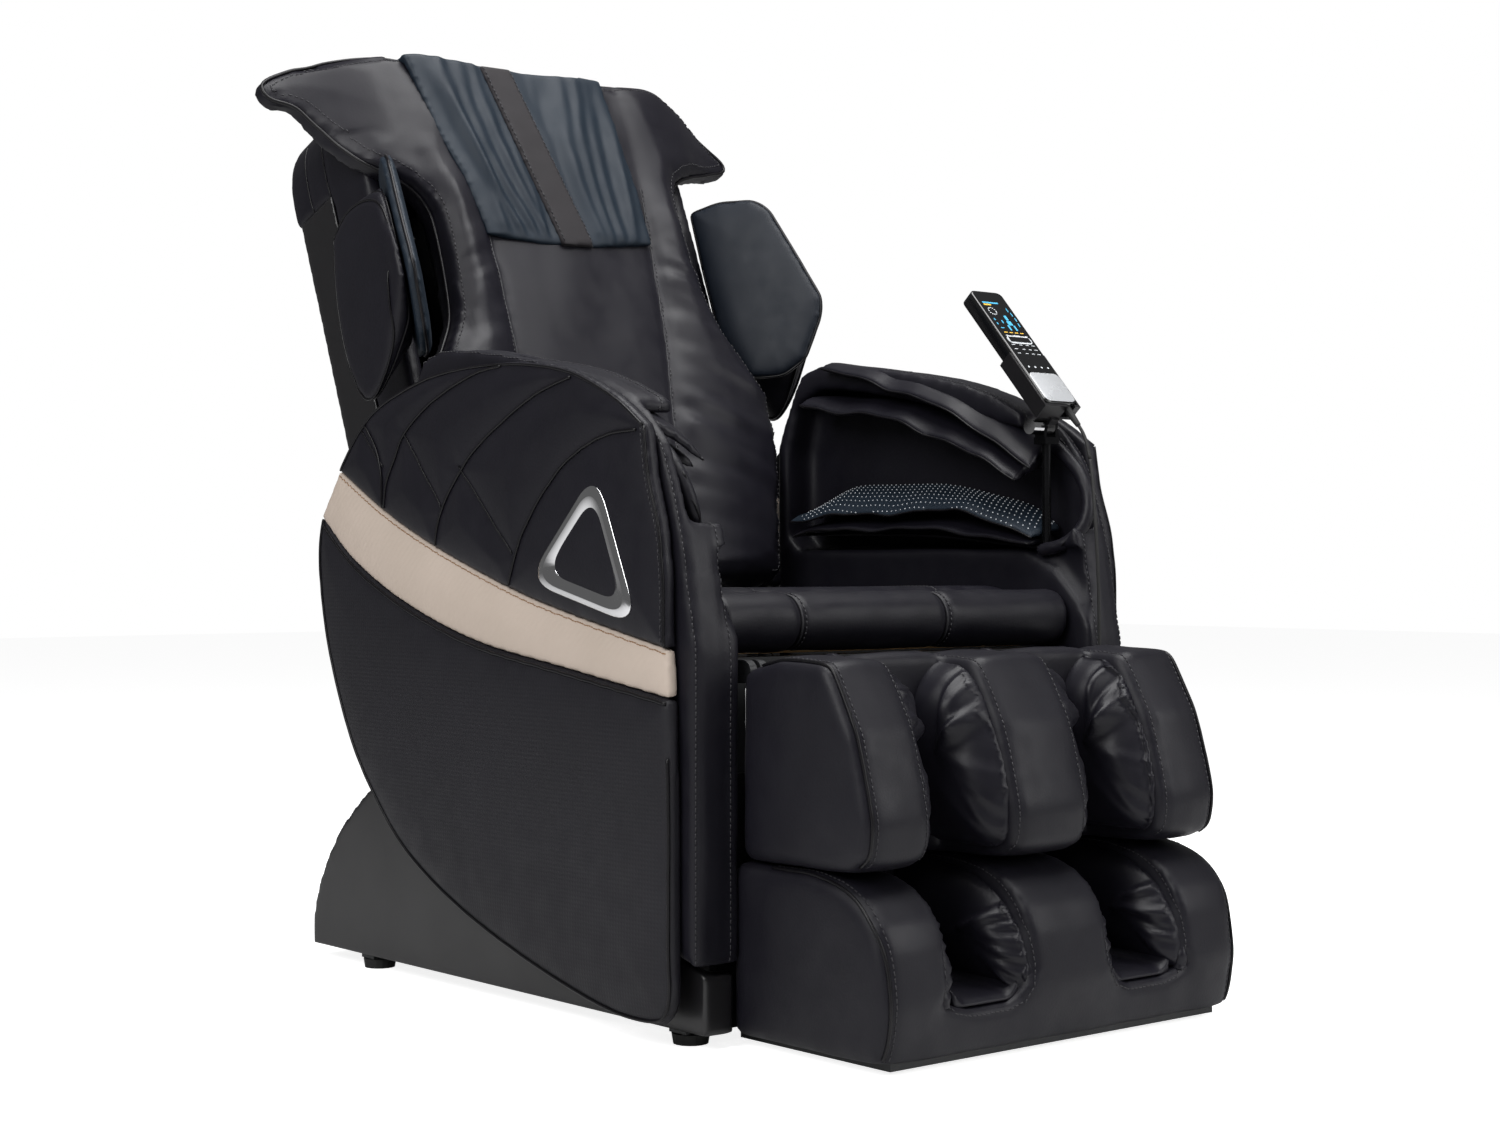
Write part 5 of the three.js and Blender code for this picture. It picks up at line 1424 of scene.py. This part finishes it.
        blank.press(shape)
        trim = Trim(blank.tree())
        shop.add("back_pad_piping", trim.piping([rim], 2.4, 0.1), Finish.PIPING, "back")
        rows = [[p + forward * 14 for p in self._rim(9, self.front + 4)]]
        seen = [fold[30:] for fold in folds]
        sewn = [
            [p + (datum.on_back(5 if p.x > 0 else -5, 0, 0) - datum.on_back(0, 0, 0)) for p in fold] for fold in seen
        ]
        stitches = Blank.joined(trim.stitches(rows), trim.stitches(sewn), trim.piping(seen, 1.0, 0.3))
        shop.add("back_pad_stitches", stitches, Finish.THREAD, "back")
        shop.add("back_pad_cover", blank, Finish.HIDE_SOFT, "back", replaces=["back_pad"], fill=0.7)

    def _pillow(self) -> None:
        """The head pillow: two pleated panels on either side of a plain strip."""
        shop, datum = self.shop, self.shop.datum
        low, high = self.pillow_bottom, self.pillow_top
        corners = ((-148, low + 2), (-60, low - 4), (30, low - 2), (139, low + 12), (136, 700), (116, high + 6))
        corners += ((60, high), (-40, high - 4), (-120, high - 4), (-222, high + 2), (-194, 760), (-166, 680))
        face = Blank.slab(corners, datum.back_front, -99.5, -90.0)
        cap = Blank.slab(
            [(-220, high - 8), (116, high - 4), (116, high + 6), (60, high + 2), (-40, high), (-222, high + 2)],
            datum.back_front, -99.5, -42.0,
        )
        blank = Blank.joined(face, cap).remesh(4.0).relax(4)
        forward = datum.on_back(0, -1, 0) - datum.on_back(0, 0, 0)
        # each fold: where it leaves the top, where it meets the hem, its bend, half width and height
        folds = (
            (-192, -118, 10, 11, 7), (-168, -86, -16, 9, 9), (-138, -62, -20, 10, 8), (-112, -46, -12, 8, 6),
            (-98, -52, 14, 7, 5), (36, 52, -18, 12, 7), (66, 66, -14, 9, 8), (88, 84, -12, 10, 7), (106, 104, 6, 9, 6),
        )

        def pleat(co: Vector, no: Vector) -> Vector:
            """Slack folds that run together towards the hem."""
            x, _, z = datum.back_local(co)
            if no.dot(forward) * 1000 < 0.15:
                return Vector((0, 0, 0))
            t = min(1.0, max(0.0, (z - low) / (high - low)))
            lift = 0.0
            for top, bottom, bend, width, height in folds:
                middle = bottom + (top - bottom) * t + bend * math.sin(t * math.pi)
                across = (x - middle) / (width * (0.8 + 0.7 * t))
                lift += height * math.exp(-(across**2)) * (0.55 + 0.45 * math.sin(t * 3))
            lift += 4.0 * noise.noise(Vector((x * 0.022, z * 0.009, 1.7)))
            lift += 1.4 * noise.noise(Vector((x * 0.06, z * 0.02, 5)))
            middle = -74 + 72 * (1 - t)
            away = ramp(abs(x - middle), 24, 40)
            return forward * (lift * away * ramp(z, low - 2, low + 22) + 1.2)

        blank.press(pleat)
        strip_outline = [(-27, low - 5), (29, low - 3), (-46, high - 1), (-98, high - 3)]
        strip = Blank.slab(strip_outline, datum.back_front, -105.0, -95.0).remesh(4.0).relax(2)
        trim = Trim(strip.tree())
        edges = (((-24, low), (-95, high)), ((26, low), (-49, high)))
        rows = [
            [datum.on_back(a[0] + (b[0] - a[0]) * i / 46, -107, a[1] + (b[1] - a[1]) * i / 46) for i in range(46)]
            for a, b in edges
        ]
        shop.add("head_pillow_stitches", trim.stitches(rows), Finish.THREAD, "pillow", "perforated_leather")
        shop.add("head_pillow_strip", strip, Finish.UMBER, "pillow", "perforated_leather")
        shop.add("head_pillow_cover", blank, Finish.SLATE, "pillow", "perforated_leather", ["head_pillow"], fill=0.35)

    def _casing(self) -> None:
        """The padded surround with its hood, and the moulded shell."""
        shop, datum = self.shop, self.shop.datum
        blank = Blank.of_node(shop.node("back_surround")).remesh(7.0).relax(6)
        lines = [[datum.on_back(s * 285, y, z) for z in range(724, 850, 6)] for s in (-1, 1) for y in (60, 110)]
        seams = Seams(lines)
        blank.press(lambda co, no: seams.groove(co, 3.0, 5.0))
        trim = Trim(blank.tree())
        shop.add("back_hood_piping", trim.piping(lines, 1.4, 0.4), Finish.PIPING, "back")
        shop.add("back_hood", blank, Finish.HIDE, "back", replaces=["back_surround"], fill=0.6)
        half = [(243, 42), (270, 52), (282, 90), (283, 200), (283, 500), (283, 745)]
        outline = [(p.x, p.y) for p in smooth_line(half, 12)]
        outline += [(-x, z) for x, z in reversed(outline)]
        shell = Blank.slab(outline, datum.back_front, 30, 150).remesh(6.0).relax(5)
        forward = datum.on_back(0, -1, 0) - datum.on_back(0, 0, 0)
        upward = datum.on_back(0, 0, 1) - datum.on_back(0, 0, 0)
        shell.trimmed(datum.on_back(0, 56, 0), forward).trimmed(datum.on_back(0, 0, 721), upward).walled(4.0)
        shop.add("back_shell_moulding", shell, Finish.SHELL, "back", "cover", ["back_shell"])

    def _shoulders(self) -> None:
        """The shoulder wings: a padded wedge outside, an air cushion in slate leather on its inner face, the left one
        in a darker copy of that leather for painted shade.
        """
        shop, datum = self.shop, self.shop.datum
        for side, sign in SIDES:
            face = [Vector(p) for p in self.wing_face]
            behind = [datum.on_back(sign * (p.x + 10), p.y + 8, 505 + (p.z - 505) * 0.74) for p in face]
            oval = smooth_line([*self.wing_oval, self.wing_oval[0]], 8)
            outer = [datum.on_back(sign * 350, p.x, p.y) for p in oval]
            body = Blank.hull([*behind, *outer]).remesh(4.5).relax(4)
            middle = [datum.on_back(sign * 333, p.x * 1.04 - 6, (p.y - 490) * 1.05 + 490) for p in oval]
            seams = Seams([outer, middle])
            body.press(lambda co, no: seams.groove(co, 1.8, 4.0) + seams.crown(co, 3.0, 26.0))
            trim = Trim(body.tree())
            shop.add(f"shoulder_wing_piping_{side}", trim.piping([outer, middle], 1.7), Finish.PIPING, "back")
            shop.add(
                f"shoulder_wing_pad_{side}", body, Finish.HIDE, "back", replaces=[f"shoulder_wing_{side}"], fill=0.6
            )
            skin = [datum.on_back(sign * (p.x - 6), p.y - 4, p.z) for p in face]
            root = [datum.on_back(sign * (p.x + 6), p.y + 4, p.z) for p in face]
            pad = Blank.hull([*skin, *root]).remesh(4.0).relax(4)
            edge = Seams([[*skin, skin[0]]])
            inward = datum.on_back(-sign, -0.6, 0) - datum.on_back(0, 0, 0)
            pad.press(lambda co, no: edge.crown(co, 7.0, 22.0) if no.dot(inward) > 0.0003 else 0.0)
            trim = Trim(pad.tree())
            loop = [p.lerp(q, 0.4) for p, q in zip(skin, root)]
            loop = smooth_line([*loop, loop[0]], 0.006)
            shop.add(f"shoulder_cushion_piping_{side}", trim.piping([loop], 2.2), Finish.PIPING, "back")
            # the left cushion takes the darker copy of the slate leather as painted shade, the right one the slate
            # leather itself
            cushion_leather_shaded_left = Finish.NAVY if sign > 0 else Finish.SLATE
            shop.add(
                f"shoulder_cushion_pad_{side}", pad, cushion_leather_shaded_left, "back", "perforated_leather",
                [f"shoulder_cushion_{side}"], fill=0.5,
            )

    def build(self) -> None:
        """Makes the back."""
        self._pad()
        self._pillow()
        self._casing()
        self._shoulders()
        self.shop.dress(Finish.STEEL, "back_frame", "kneading_arm_left", "kneading_arm_right")
        self.shop.dress(Finish.ZINC, "massage_carriage", "lead_screw", "kneading_shaft")
        self.shop.dress(Finish.NYLON, *(f"{end}_roller_{side}" for end in ("upper", "lower") for side, _ in SIDES))


# ----------------------------------------------------------------------------------------- leg rest
@dataclass
class LegRest:
    """The calf rest and the foot rest, with gathered air cushions in their channels."""

    shop: Workshop
    calf: tuple[Point, ...] = (
        (-457, 212), (-457, 416), (-480, 428), (-517, 433), (-560, 434), (-592, 428), (-612, 404), (-634, 360),
        (-650, 312), (-660, 262), (-656, 230), (-640, 214), (-600, 212),
    )
    foot_brow: tuple[Point, ...] = (
        (-442, 202), (-500, 206), (-560, 204), (-612, 193), (-650, 170), (-678, 130), (-689, 84), (-686, 40),
        (-676, 18),
    )

    def _gathered(
        self, outline: Sequence[Point], wall: float, out: int, bulge: float, folds: Sequence[tuple[float, float, float]]
    ) -> Blank:
        """An air cushion sewn to a wall's rim, its cover gathered into the seam.

        Args:
            outline: its side-view corners, which follow the rim.
            wall: where the wall stands across the chair.
            out: 1 or -1, the way that it swells.
            bulge: how far its middle stands out, in millimetres.
            folds: for each gather, its angle about the middle in degrees, its width and its height in millimetres.

        Returns:
            The blank.
        """
        datum = self.shop.datum
        dense = smooth_line([*outline, outline[0]], 8)[:-1]
        blank = Blank.slab(dense, datum.side, wall - out * 4, wall + out * 5).remesh(3.6).relax(2)
        seams = Seams([[datum.at(wall + out * 4, p.x, p.y) for p in [*dense, dense[0]]]])
        cy, cz = (sum(p[i] for p in outline) / len(outline) for i in (0, 1))

        def shape(co: Vector, no: Vector) -> Vector:
            """The swollen middle and the gathers along its rim."""
            x, y, z = datum.shop(co)
            if (x - wall) * out < 0:
                return Vector((0, 0, 0))
            gap = seams.gap(co)
            lift = bulge * (1 - math.exp(-gap / 20))
            angle, radius = math.degrees(math.atan2(z - cz, y - cy)), math.hypot(z - cz, y - cy)
            for at_angle, width, height in folds:
                turn = (angle - at_angle + 180) % 360 - 180
                across = math.radians(turn) * radius + 5 * noise.noise(Vector((radius * 0.02, at_angle, 0)))
                lift += height * math.exp(-((across / width) ** 2)) * math.exp(-(((gap - 14) / 22) ** 2))
            lift += 3.0 * noise.noise(Vector((y * 0.016, z * 0.010, wall * 0.01)))
            return Vector((out * lift * MM, 0, 0))

        return blank.press(shape)

    def _line(self, points: Sequence[Point], x: float) -> list[Vector]:
        """A smooth side-view line at a place across the chair."""
        return [self.shop.datum.at(x, p.x, p.y) for p in smooth_line(points, 5)]

    def _cover(
        self,
        node: str,
        body: str,
        edges: list[list[Vector]],
        strips: list[list[Vector]],
        crown: float,
        finish_off: Callable[[Vector, Vector], Vector] | None = None,
    ) -> None:
        """Upholsters a cushion: piped edges, stitched seams, and leather that swells between them.

        Args:
            node: the CAD node that it covers.
            body: the body that it rides on.
            edges: its two outer edges, left and right.
            strips: its inner seams.
            crown: how far the leather swells, in millimetres.
            finish_off: a last change to its shape.
        """
        shop = self.shop
        blank = Blank.of_node(shop.node(node)).remesh(5.5).relax(5)
        seams = Seams(edges + strips)
        blank.press(
            lambda co, no: seams.groove(co, 2.2, 5.0)
            + seams.crown(co, crown, 18.0)
            + 1.0 * MM * noise.noise(Vector((co.x * 20, co.y * 20, co.z * 20)))
        )
        if finish_off:
            blank.press(finish_off)
        trim = Trim(blank.tree())
        shop.add(f"{node}_piping", trim.piping(edges, 2.0), Finish.PIPING, body)
        rows = Blank.joined(
            trim.stitches([edges[0]], 7.0), trim.stitches([edges[1]], -7.0), trim.stitches(strips, 0.0)
        )
        shop.add(f"{node}_stitches", rows, Finish.THREAD, body)
        shop.add(f"{node}_cover", blank, Finish.HIDE, body, replaces=[node], fill=0.7)

    def _calf(self) -> None:
        """The calf rest."""
        over = self.calf[2:-1]
        edges = [self._line(over, x) for x in (-277, 277)]
        strips = [self._line(over, x) for x in (-194, -54, 54, 194)]
        self._cover("calf_rest", "leg", edges, strips, 4.5)
        bag = [
            (-470, 222), (-560, 222), (-634, 224), (-648, 262), (-640, 312), (-622, 358), (-602, 396), (-580, 417),
            (-550, 424), (-470, 420),
        ]
        for i, (wall, out, bulge) in enumerate(((-189, 1, 24.0), (-57, -1, 44.0), (57, 1, 30.0), (189, -1, 44.0))):
            folds = [(92 + k * 9.0 + 3 * math.sin(k * 2.1 + i), 5.0 + (k % 3), 13.0 - (k % 2) * 4) for k in range(6)]
            folds += [(-128 - k * 11.0, 6.0, 4.5) for k in range(4)]
            cushion = self._gathered(bag, wall, out, bulge, folds)
            self.shop.add(f"calf_air_cushion_{i + 1}", cushion, Finish.HIDE_SOFT, "leg", fill=0.5)

    def _foot(self) -> None:
        """The foot rest."""
        shop = self.shop
        edges = [self._line(self.foot_brow[1:], x) for x in (-278, 278)]
        strips = []
        for a, b in ((-193, -61), (61, 193)):
            wall = self.foot_brow[1:6]
            under = (
                (a - 1, 100), (a + 2, 76), (a + 14, 60), (a + 40, 54), (b - 40, 54), (b - 14, 60), (b - 2, 76),
                (b + 1, 100),
            )
            front = [shop.datum.at(x, -688, z) for x, z in under]
            strips.append([*self._line(wall, a), *front, *reversed(self._line(wall, b))])

        def round_corner(co: Vector, no: Vector) -> Vector:
            """Rounds the lower corners of the wells."""
            x, _, z = shop.datum.shop(co)
            corner, inward = (64, 1) if abs(x) < 127 else (190, -1)
            near = max(0.0, 1 - math.hypot(abs(x) - corner, z - 58) / 34)
            return Vector((math.copysign(inward, x), 0, 1)) * (11 * MM * near)

        self._cover("foot_rest", "foot", edges, strips, 4.0, round_corner)
        bag = [
            (-470, 66), (-600, 64), (-670, 64), (-682, 88), (-674, 124), (-656, 152), (-630, 174), (-600, 188),
            (-560, 196), (-470, 196),
        ]
        for i, (wall, out, bulge) in enumerate(((-192, 1, 14.0), (-62, -1, 26.0), (62, 1, 18.0), (192, -1, 26.0))):
            folds = [
                (148 + k * 8.5 + 2.5 * math.sin(k * 1.7 + i), 4.4 + (k % 2), 9.5 - 1.5 * (k % 3)) for k in range(9)
            ]
            cushion = self._gathered(bag, wall, out, bulge, folds)
            shop.add(f"foot_air_cushion_{i + 1}", cushion, Finish.HIDE_SOFT, "foot", fill=0.5)
        brow = smooth_line(((-687, 72), (-686, 92), (-672, 132), (-646, 164), (-610, 184), (-556, 196), (-500, 198)), 4)
        for i, (x, out) in enumerate(((-196, 1), (-58, -1), (58, 1), (196, -1))):
            line = [shop.datum.at(x + out * 2, p.x + 11, p.y - 8) for p in brow]
            rim = swept_cord([line], 14, 6).remesh(3.4).relax(2)
            travel = Seams([[p] * 2 for p in line[:: len(line) // 16]], 1.0)

            def gather(co: Vector, no: Vector) -> float:
                """The gathers where the cushion's cover meets the rim."""
                depth = 1 - math.exp(-((travel.gap(co) / 13) ** 2))
                return MM * (-5.0 * depth + 2.4 * noise.noise(Vector((co.x * 60, co.y * 90, co.z * 90 + i))))

            rim.press(gather)
            shop.add(f"foot_gathers_{i + 1}", rim, Finish.HIDE_SOFT, "foot", fill=0.5)
        for i, x in enumerate((-127, 127)):
            sole = Blank.slab(
                [(-488, 60), (-676, 60), (-680, 64), (-670, 70), (-560, 74), (-500, 84), (-488, 90)],
                shop.datum.side, x - 52, x + 52,
            ).remesh(4.5).relax(5)
            sole.press(lambda co, no, x=x: Vector((0, 0, 20 * MM * ramp(abs(co.x / MM - x), 26, 56) ** 2 * (no.z > 0))))
            shop.add(f"sole_pad_{i + 1}", sole, Finish.HIDE_SOFT, "foot", fill=0.5)

    def build(self) -> None:
        """Makes the leg rest."""
        self._calf()
        self._foot()
        self.shop.dress(Finish.STEEL, "leg_frame", "foot_frame")


# ------------------------------------------------------------------------------------------- remote
@dataclass
class Remote:
    """The remote control in its holder, and its lead."""

    shop: Workshop
    half: float = 29.0
    face: float = -42.0
    back: float = -20.0
    bottom: float = 4.0
    top: float = 212.0
    lead_diameter: float = 4.5
    route: tuple[tuple[float, float, float], ...] = (
        (312, -414.1, 711.6), (311.6, -420.4, 703.6), (310, -428.0, 691.0), (307, -437.0, 669.0), (302, -446.0, 640.0),
        (297, -453.5, 605.0), (294, -459.5, 565.0), (292.5, -463.5, 520.0), (292.3, -465.5, 460.0),
        (293, -466.0, 380.0), (294, -467.0, 300.0), (294.5, -468.0, 220.0), (294, -470.0, 150.0),
        (294.3, -472.5, 95.0), (297, -474.5, 58.0), (304, -476.0, 34.0), (313, -477.0, 26.5), (322, -478.0, 34.0),
        (327.5, -478.5, 56.0), (327, -478.5, 88.0), (322, -477.5, 118.0), (317, -474.0, 136.0), (314.5, -469.5, 142.8),
        (314, -465.8, 143.8),
    )

    def _lead(self, name: str, points: Sequence[Sequence[float]]) -> tuple[bpy.types.Object, list[Vector]]:
        """A length of the lead.

        Args:
            name: of the piece.
            points: the route of its middle, in shop millimetres.

        Returns:
            A round tube with closed ends, and the line that its middle follows.
        """
        line = [self.shop.datum.at(*p) for p in smooth_line(points, 5)]
        tube = swept_cord([line], self.lead_diameter / 2, 3)
        mesh = bpy.data.meshes.new(name)
        for face in tube.mesh.faces:
            face.smooth = True
        tube.mesh.to_mesh(mesh)
        tube.mesh.free()
        mesh.materials.append(self.shop.paint.get(Finish.RUBBER))
        piece = bpy.data.objects.new(name, mesh)
        bpy.context.scene.collection.objects.link(piece)
        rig.slot(piece, "rubber")
        return piece, line

    def build_lead(self) -> None:
        """Makes the lead in two lengths that meet below the tilt axis."""
        at = self.shop.datum.at
        upper, points = self._lead("lead_upper", self.route[:4])
        length = sum((b - a).length for a, b in zip(points, points[1:]))
        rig.ride(upper, "holder")
        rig.replaces(upper, "remote_lead_top")
        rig.cord(
            upper, exit=points[0], length=length, diameter=self.lead_diameter * MM, far_end="object",
            stiffness="medium", lay="hanging", path=points, with_pieces=[self.shop.node("lead_boot")],
        )
        x, y, z = self.route[3]
        lower, points = self._lead("lead_lower", [(x - 0.1, y - 0.2, z - 0.4), *self.route[4:]])
        length = sum((b - a).length for a, b in zip(points, points[1:]))
        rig.blend(lower, "base", "holder", start=at(294, -459, 560), end=at(307, -437, 668))
        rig.replaces(lower, "remote_lead")
        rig.cord(
            lower, exit=points[0], length=length, diameter=self.lead_diameter * MM, far_end="object",
            stiffness="medium", lay="hanging", path=points, with_pieces=[self.shop.node("lead_gland")],
        )
        log.info("lead: lower length %.3f m", length)

    def _plate(self, x0: float, x1: float, z0: float, z1: float, front: float, rear: float, soft: float) -> Blank:
        """A rounded plate on the handset."""
        radius = min(soft, (x1 - x0) / 2.01, (z1 - z0) / 2.01)
        outline: list[Point] = []
        for cx, cz, start in (
            (x1 - radius, z0 + radius, -90), (x1 - radius, z1 - radius, 0),
            (x0 + radius, z1 - radius, 90), (x0 + radius, z0 + radius, 180),
        ):
            for k in range(7):
                a = math.radians(start + k * 15)
                outline.append((cx + radius * math.cos(a), cz + radius * math.sin(a)))
        return Blank.slab(outline, self.shop.datum.handset_front, front, rear)

    def _body(self) -> None:
        """The handset: dark body, glass, silver lower cover and generic symbols."""
        shop, half, face = self.shop, self.half, self.face
        body = self._plate(-half, half, self.bottom, self.top, face + 0.6, self.back, 9).bevel(2.2, 3, 40)
        shop.add("handset_body", body, Finish.GLOSS, "handset", "handset", ["remote_body"])
        glass = self._plate(-half + 2, half - 2, 58, self.top - 2.5, face + 0.1, face + 2, 7)
        shop.add("handset_glass", glass, Finish.SCREEN, "handset", "handset", flat=True)
        cover = self._plate(-half + 1.5, half - 1.5, self.bottom + 2, 57, face - 0.2, face + 2, 8).bevel(0.5, 2, 40)
        shop.add("handset_cover", cover, Finish.SILVER, "handset", "handset")
        marks: dict[Finish, list[Blank]] = {Finish.GLOW_BLUE: [], Finish.GLOW_AMBER: [], Finish.GLOW_WHITE: []}

        def mark(finish: Finish, x0: float, x1: float, z0: float, z1: float, soft: float = 0.4) -> None:
            """A printed or lit mark on the glass."""
            marks[finish].append(self._plate(x0, x1, z0, z1, face - 0.15, face + 1, soft))

        mark(Finish.GLOW_BLUE, -21, 8, 187, 189.5)
        mark(Finish.GLOW_AMBER, -21, -8, 183, 185.5)
        for k in range(12):
            a = math.tau * k / 12
            mark(Finish.GLOW_WHITE, -13 + 6.5 * math.cos(a) - 0.9, -13 + 6.5 * math.cos(a) + 0.9,
                 172 + 6.5 * math.sin(a) - 0.9, 172 + 6.5 * math.sin(a) + 0.9, 0.8)
        for x, z, w, h in (
            (4, 160, 5, 9), (4, 150, 8, 8), (-2, 141, 3, 10), (9, 141, 3, 10), (17, 176, 1.6, 7), (20, 168, 1.6, 7),
            (21, 158, 1.6, 7), (20, 148, 1.6, 7), (-20, 156, 1.8, 4), (-20, 148, 1.8, 4), (-16, 140, 6, 1.6),
            (-8, 152, 2, 6),
        ):
            mark(Finish.GLOW_BLUE, x - w / 2, x + w / 2, z - h / 2, z + h / 2, 1.2)
        for x in (-16, -6, 4, 14):
            mark(Finish.GLOW_AMBER, x - 3, x + 3, 131, 132.4)
        for x, w in ((-18, 4), (0, 12), (18, 4)):
            mark(Finish.GLOW_WHITE, x - w / 2, x + w / 2, 125.2, 126.4)
        for z in (108, 100, 92):
            for x, w in ((-18, 6), (-4, 5), (8, 5), (19, 6)):
                mark(Finish.GLOW_WHITE, x - w / 2, x + w / 2, z, z + 1.0)
        for x in (-18, -6, 6, 18):
            mark(Finish.GLOW_WHITE, x - 1.5, x + 1.5, 66, 69, 1.4)
        for finish, blanks in marks.items():
            shop.add(f"handset_{finish.name.lower()}", Blank.joined(*blanks), finish, "handset", "handset", flat=True)
        shop.dress(Finish.GLOSS, "rocker_key")
        self._frame()

    def _frame(self) -> None:
        """The pale pill-shaped ring round the rocker key."""
        place = self.shop.datum.handset_front
        mesh = bmesh.new()
        loops = []
        for half_x, half_z, y in ((22, 7.2, -41.9), (22, 7.2, -42.5), (20.6, 5.8, -42.5), (20.6, 5.8, -41.9)):
            line = []
            for k in range(28):
                a = math.tau * k / 28
                x = (half_x - half_z) * (1 if math.cos(a) > 0 else -1) + half_z * math.cos(a)
                line.append(mesh.verts.new(place(x, 118 + half_z * math.sin(a), y)))
            loops.append([mesh.edges.new((a, b)) for a, b in zip(line, [*line[1:], line[0]])])
        for a, b in zip(loops, [*loops[1:], loops[0]]):
            bmesh.ops.bridge_loops(mesh, edges=a + b)
        bmesh.ops.recalc_face_normals(mesh, faces=mesh.faces[:])
        self.shop.add("handset_key_ring", Blank(mesh), Finish.GLOW_WHITE, "handset", "handset", flat=True)

    def build(self) -> None:
        """Makes the remote."""
        self._body()
        self.shop.dress(Finish.SHELL, "remote_holder")
        self.shop.dress(Finish.BLACK_CHROME, "remote_pole")
        self.shop.dress(Finish.CHROME, "holder_knob")
        self.shop.dress(Finish.RUBBER, "lead_boot", "lead_gland")


# ------------------------------------------------------------------------------------------- studio
@dataclass
class Studio:
    """The camera, floor and lights."""

    datum: Datum
    eye: tuple[float, float, float] = (-1982.65, -2492.8, 537.7)
    azimuth: float = -40.0
    lens: float = 57.5

    def camera(self) -> None:
        """Sets the camera, level and turned towards the chair."""
        data = bpy.data.cameras.new("camera")
        data.lens, data.sensor_width = self.lens, 36.0
        camera = bpy.data.objects.new("camera", data)
        camera.location = self.datum.at(*self.eye)
        camera.rotation_euler = (math.radians(90), 0, math.radians(self.azimuth))
        bpy.context.scene.collection.objects.link(camera)
        bpy.context.scene.camera = camera

    def _lamp(self, name: str, place: tuple[float, float, float], size: float, power: float) -> None:
        """A square soft light that points at the chair's middle."""
        data = bpy.data.lights.new(name, "AREA")
        data.size, data.energy = size, power
        lamp = bpy.data.objects.new(name, data)
        lamp.location = place
        aim = Vector((0, 0, 0.6)) - Vector(place)
        lamp.rotation_euler = aim.to_track_quat("-Z", "Y").to_euler()
        bpy.context.scene.collection.objects.link(lamp)

    def build(self) -> None:
        """Makes the floor and the lights."""
        mesh = bpy.data.meshes.new("floor")
        sheet = bmesh.new()
        bmesh.ops.create_grid(sheet, x_segments=1, y_segments=1, size=FLOOR_HALF)
        sheet.to_mesh(mesh)
        sheet.free()
        floor = bpy.data.objects.new("floor", mesh)
        paper = bpy.data.materials.new("white_studio_paper")
        paper.use_nodes = True
        skin = paper.node_tree.nodes["Principled BSDF"]
        skin.inputs["Base Color"].default_value = linear("#dcdcdc")
        skin.inputs["Roughness"].default_value = 0.7
        skin.inputs["Emission Color"].default_value = linear("#f2f2f2")
        # the paper is lit apart, so that it looks white and yet throws little light up at the chair
        straight = put_node(paper.node_tree, "LightPath").outputs["Is Camera Ray"]
        strength = put_node(paper.node_tree, "MapRange", {"Value": straight, "To Min": 0.06, "To Max": 0.96})
        paper.node_tree.links.new(strength.outputs[0], skin.inputs["Emission Strength"])
        mesh.materials.append(paper)
        bpy.context.scene.collection.objects.link(floor)
        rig.stage(floor)
        world = bpy.data.worlds.new("studio")
        world.use_nodes = True
        sky = world.node_tree.nodes["Background"]
        sky.inputs["Color"].default_value = (1, 1, 1, 1)
        # the studio's white walls are seen, but light the chair less than the lamps do
        seen = put_node(world.node_tree, "LightPath").outputs["Is Camera Ray"]
        level = put_node(world.node_tree, "MapRange", {"Value": seen, "To Min": 0.14, "To Max": 1.0})
        world.node_tree.links.new(level.outputs[0], sky.inputs["Strength"])
        bpy.context.scene.world = world
        self._lamp("key", (-3.0, -0.8, 2.6), 2.2, 100)
        self._lamp("top", (0.1, -0.5, 3.1), 2.2, 115)
        self._lamp("front", (1.8, -3.4, 2.0), 2.0, 62)
        bpy.context.scene.view_settings.view_transform = "Standard"


def main() -> None:
    """Builds the chair."""
    logging.basicConfig(level=logging.INFO, format="%(message)s")
    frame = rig.load()
    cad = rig.bounds()
    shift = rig.box("seat_pan")[0].y - PAN_FRONT
    datum = Datum(shift)
    shop = Workshop(frame, datum, Paintbox())
    studio = Studio(datum)
    studio.camera()
    remote = Remote(shop)
    remote.build_lead()
    Base(shop).build()
    Seat(shop).build()
    for side, sign in SIDES:
        Arm(shop, side, sign, rise=18.0 if sign > 0 else 4.0, cuff_back=0.0 if sign > 0 else 24.0).build()
    Back(shop).build()
    LegRest(shop).build()
    remote.build()
    shop.dress(Finish.ZINC, "back_actuator", "leg_actuator")
    shop.dress(Finish.CHROME, "back_actuator_rod", "leg_actuator_rod")
    studio.build()
    log.info("%d pieces", shop.count)
    sizes = {"cad": [list(c) for c in cad], "visual": [list(c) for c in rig.bounds()]}
    with open("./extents.json", "w", encoding="utf-8") as out:
        json.dump(sizes, out)


if __name__ == "__main__":
    main()
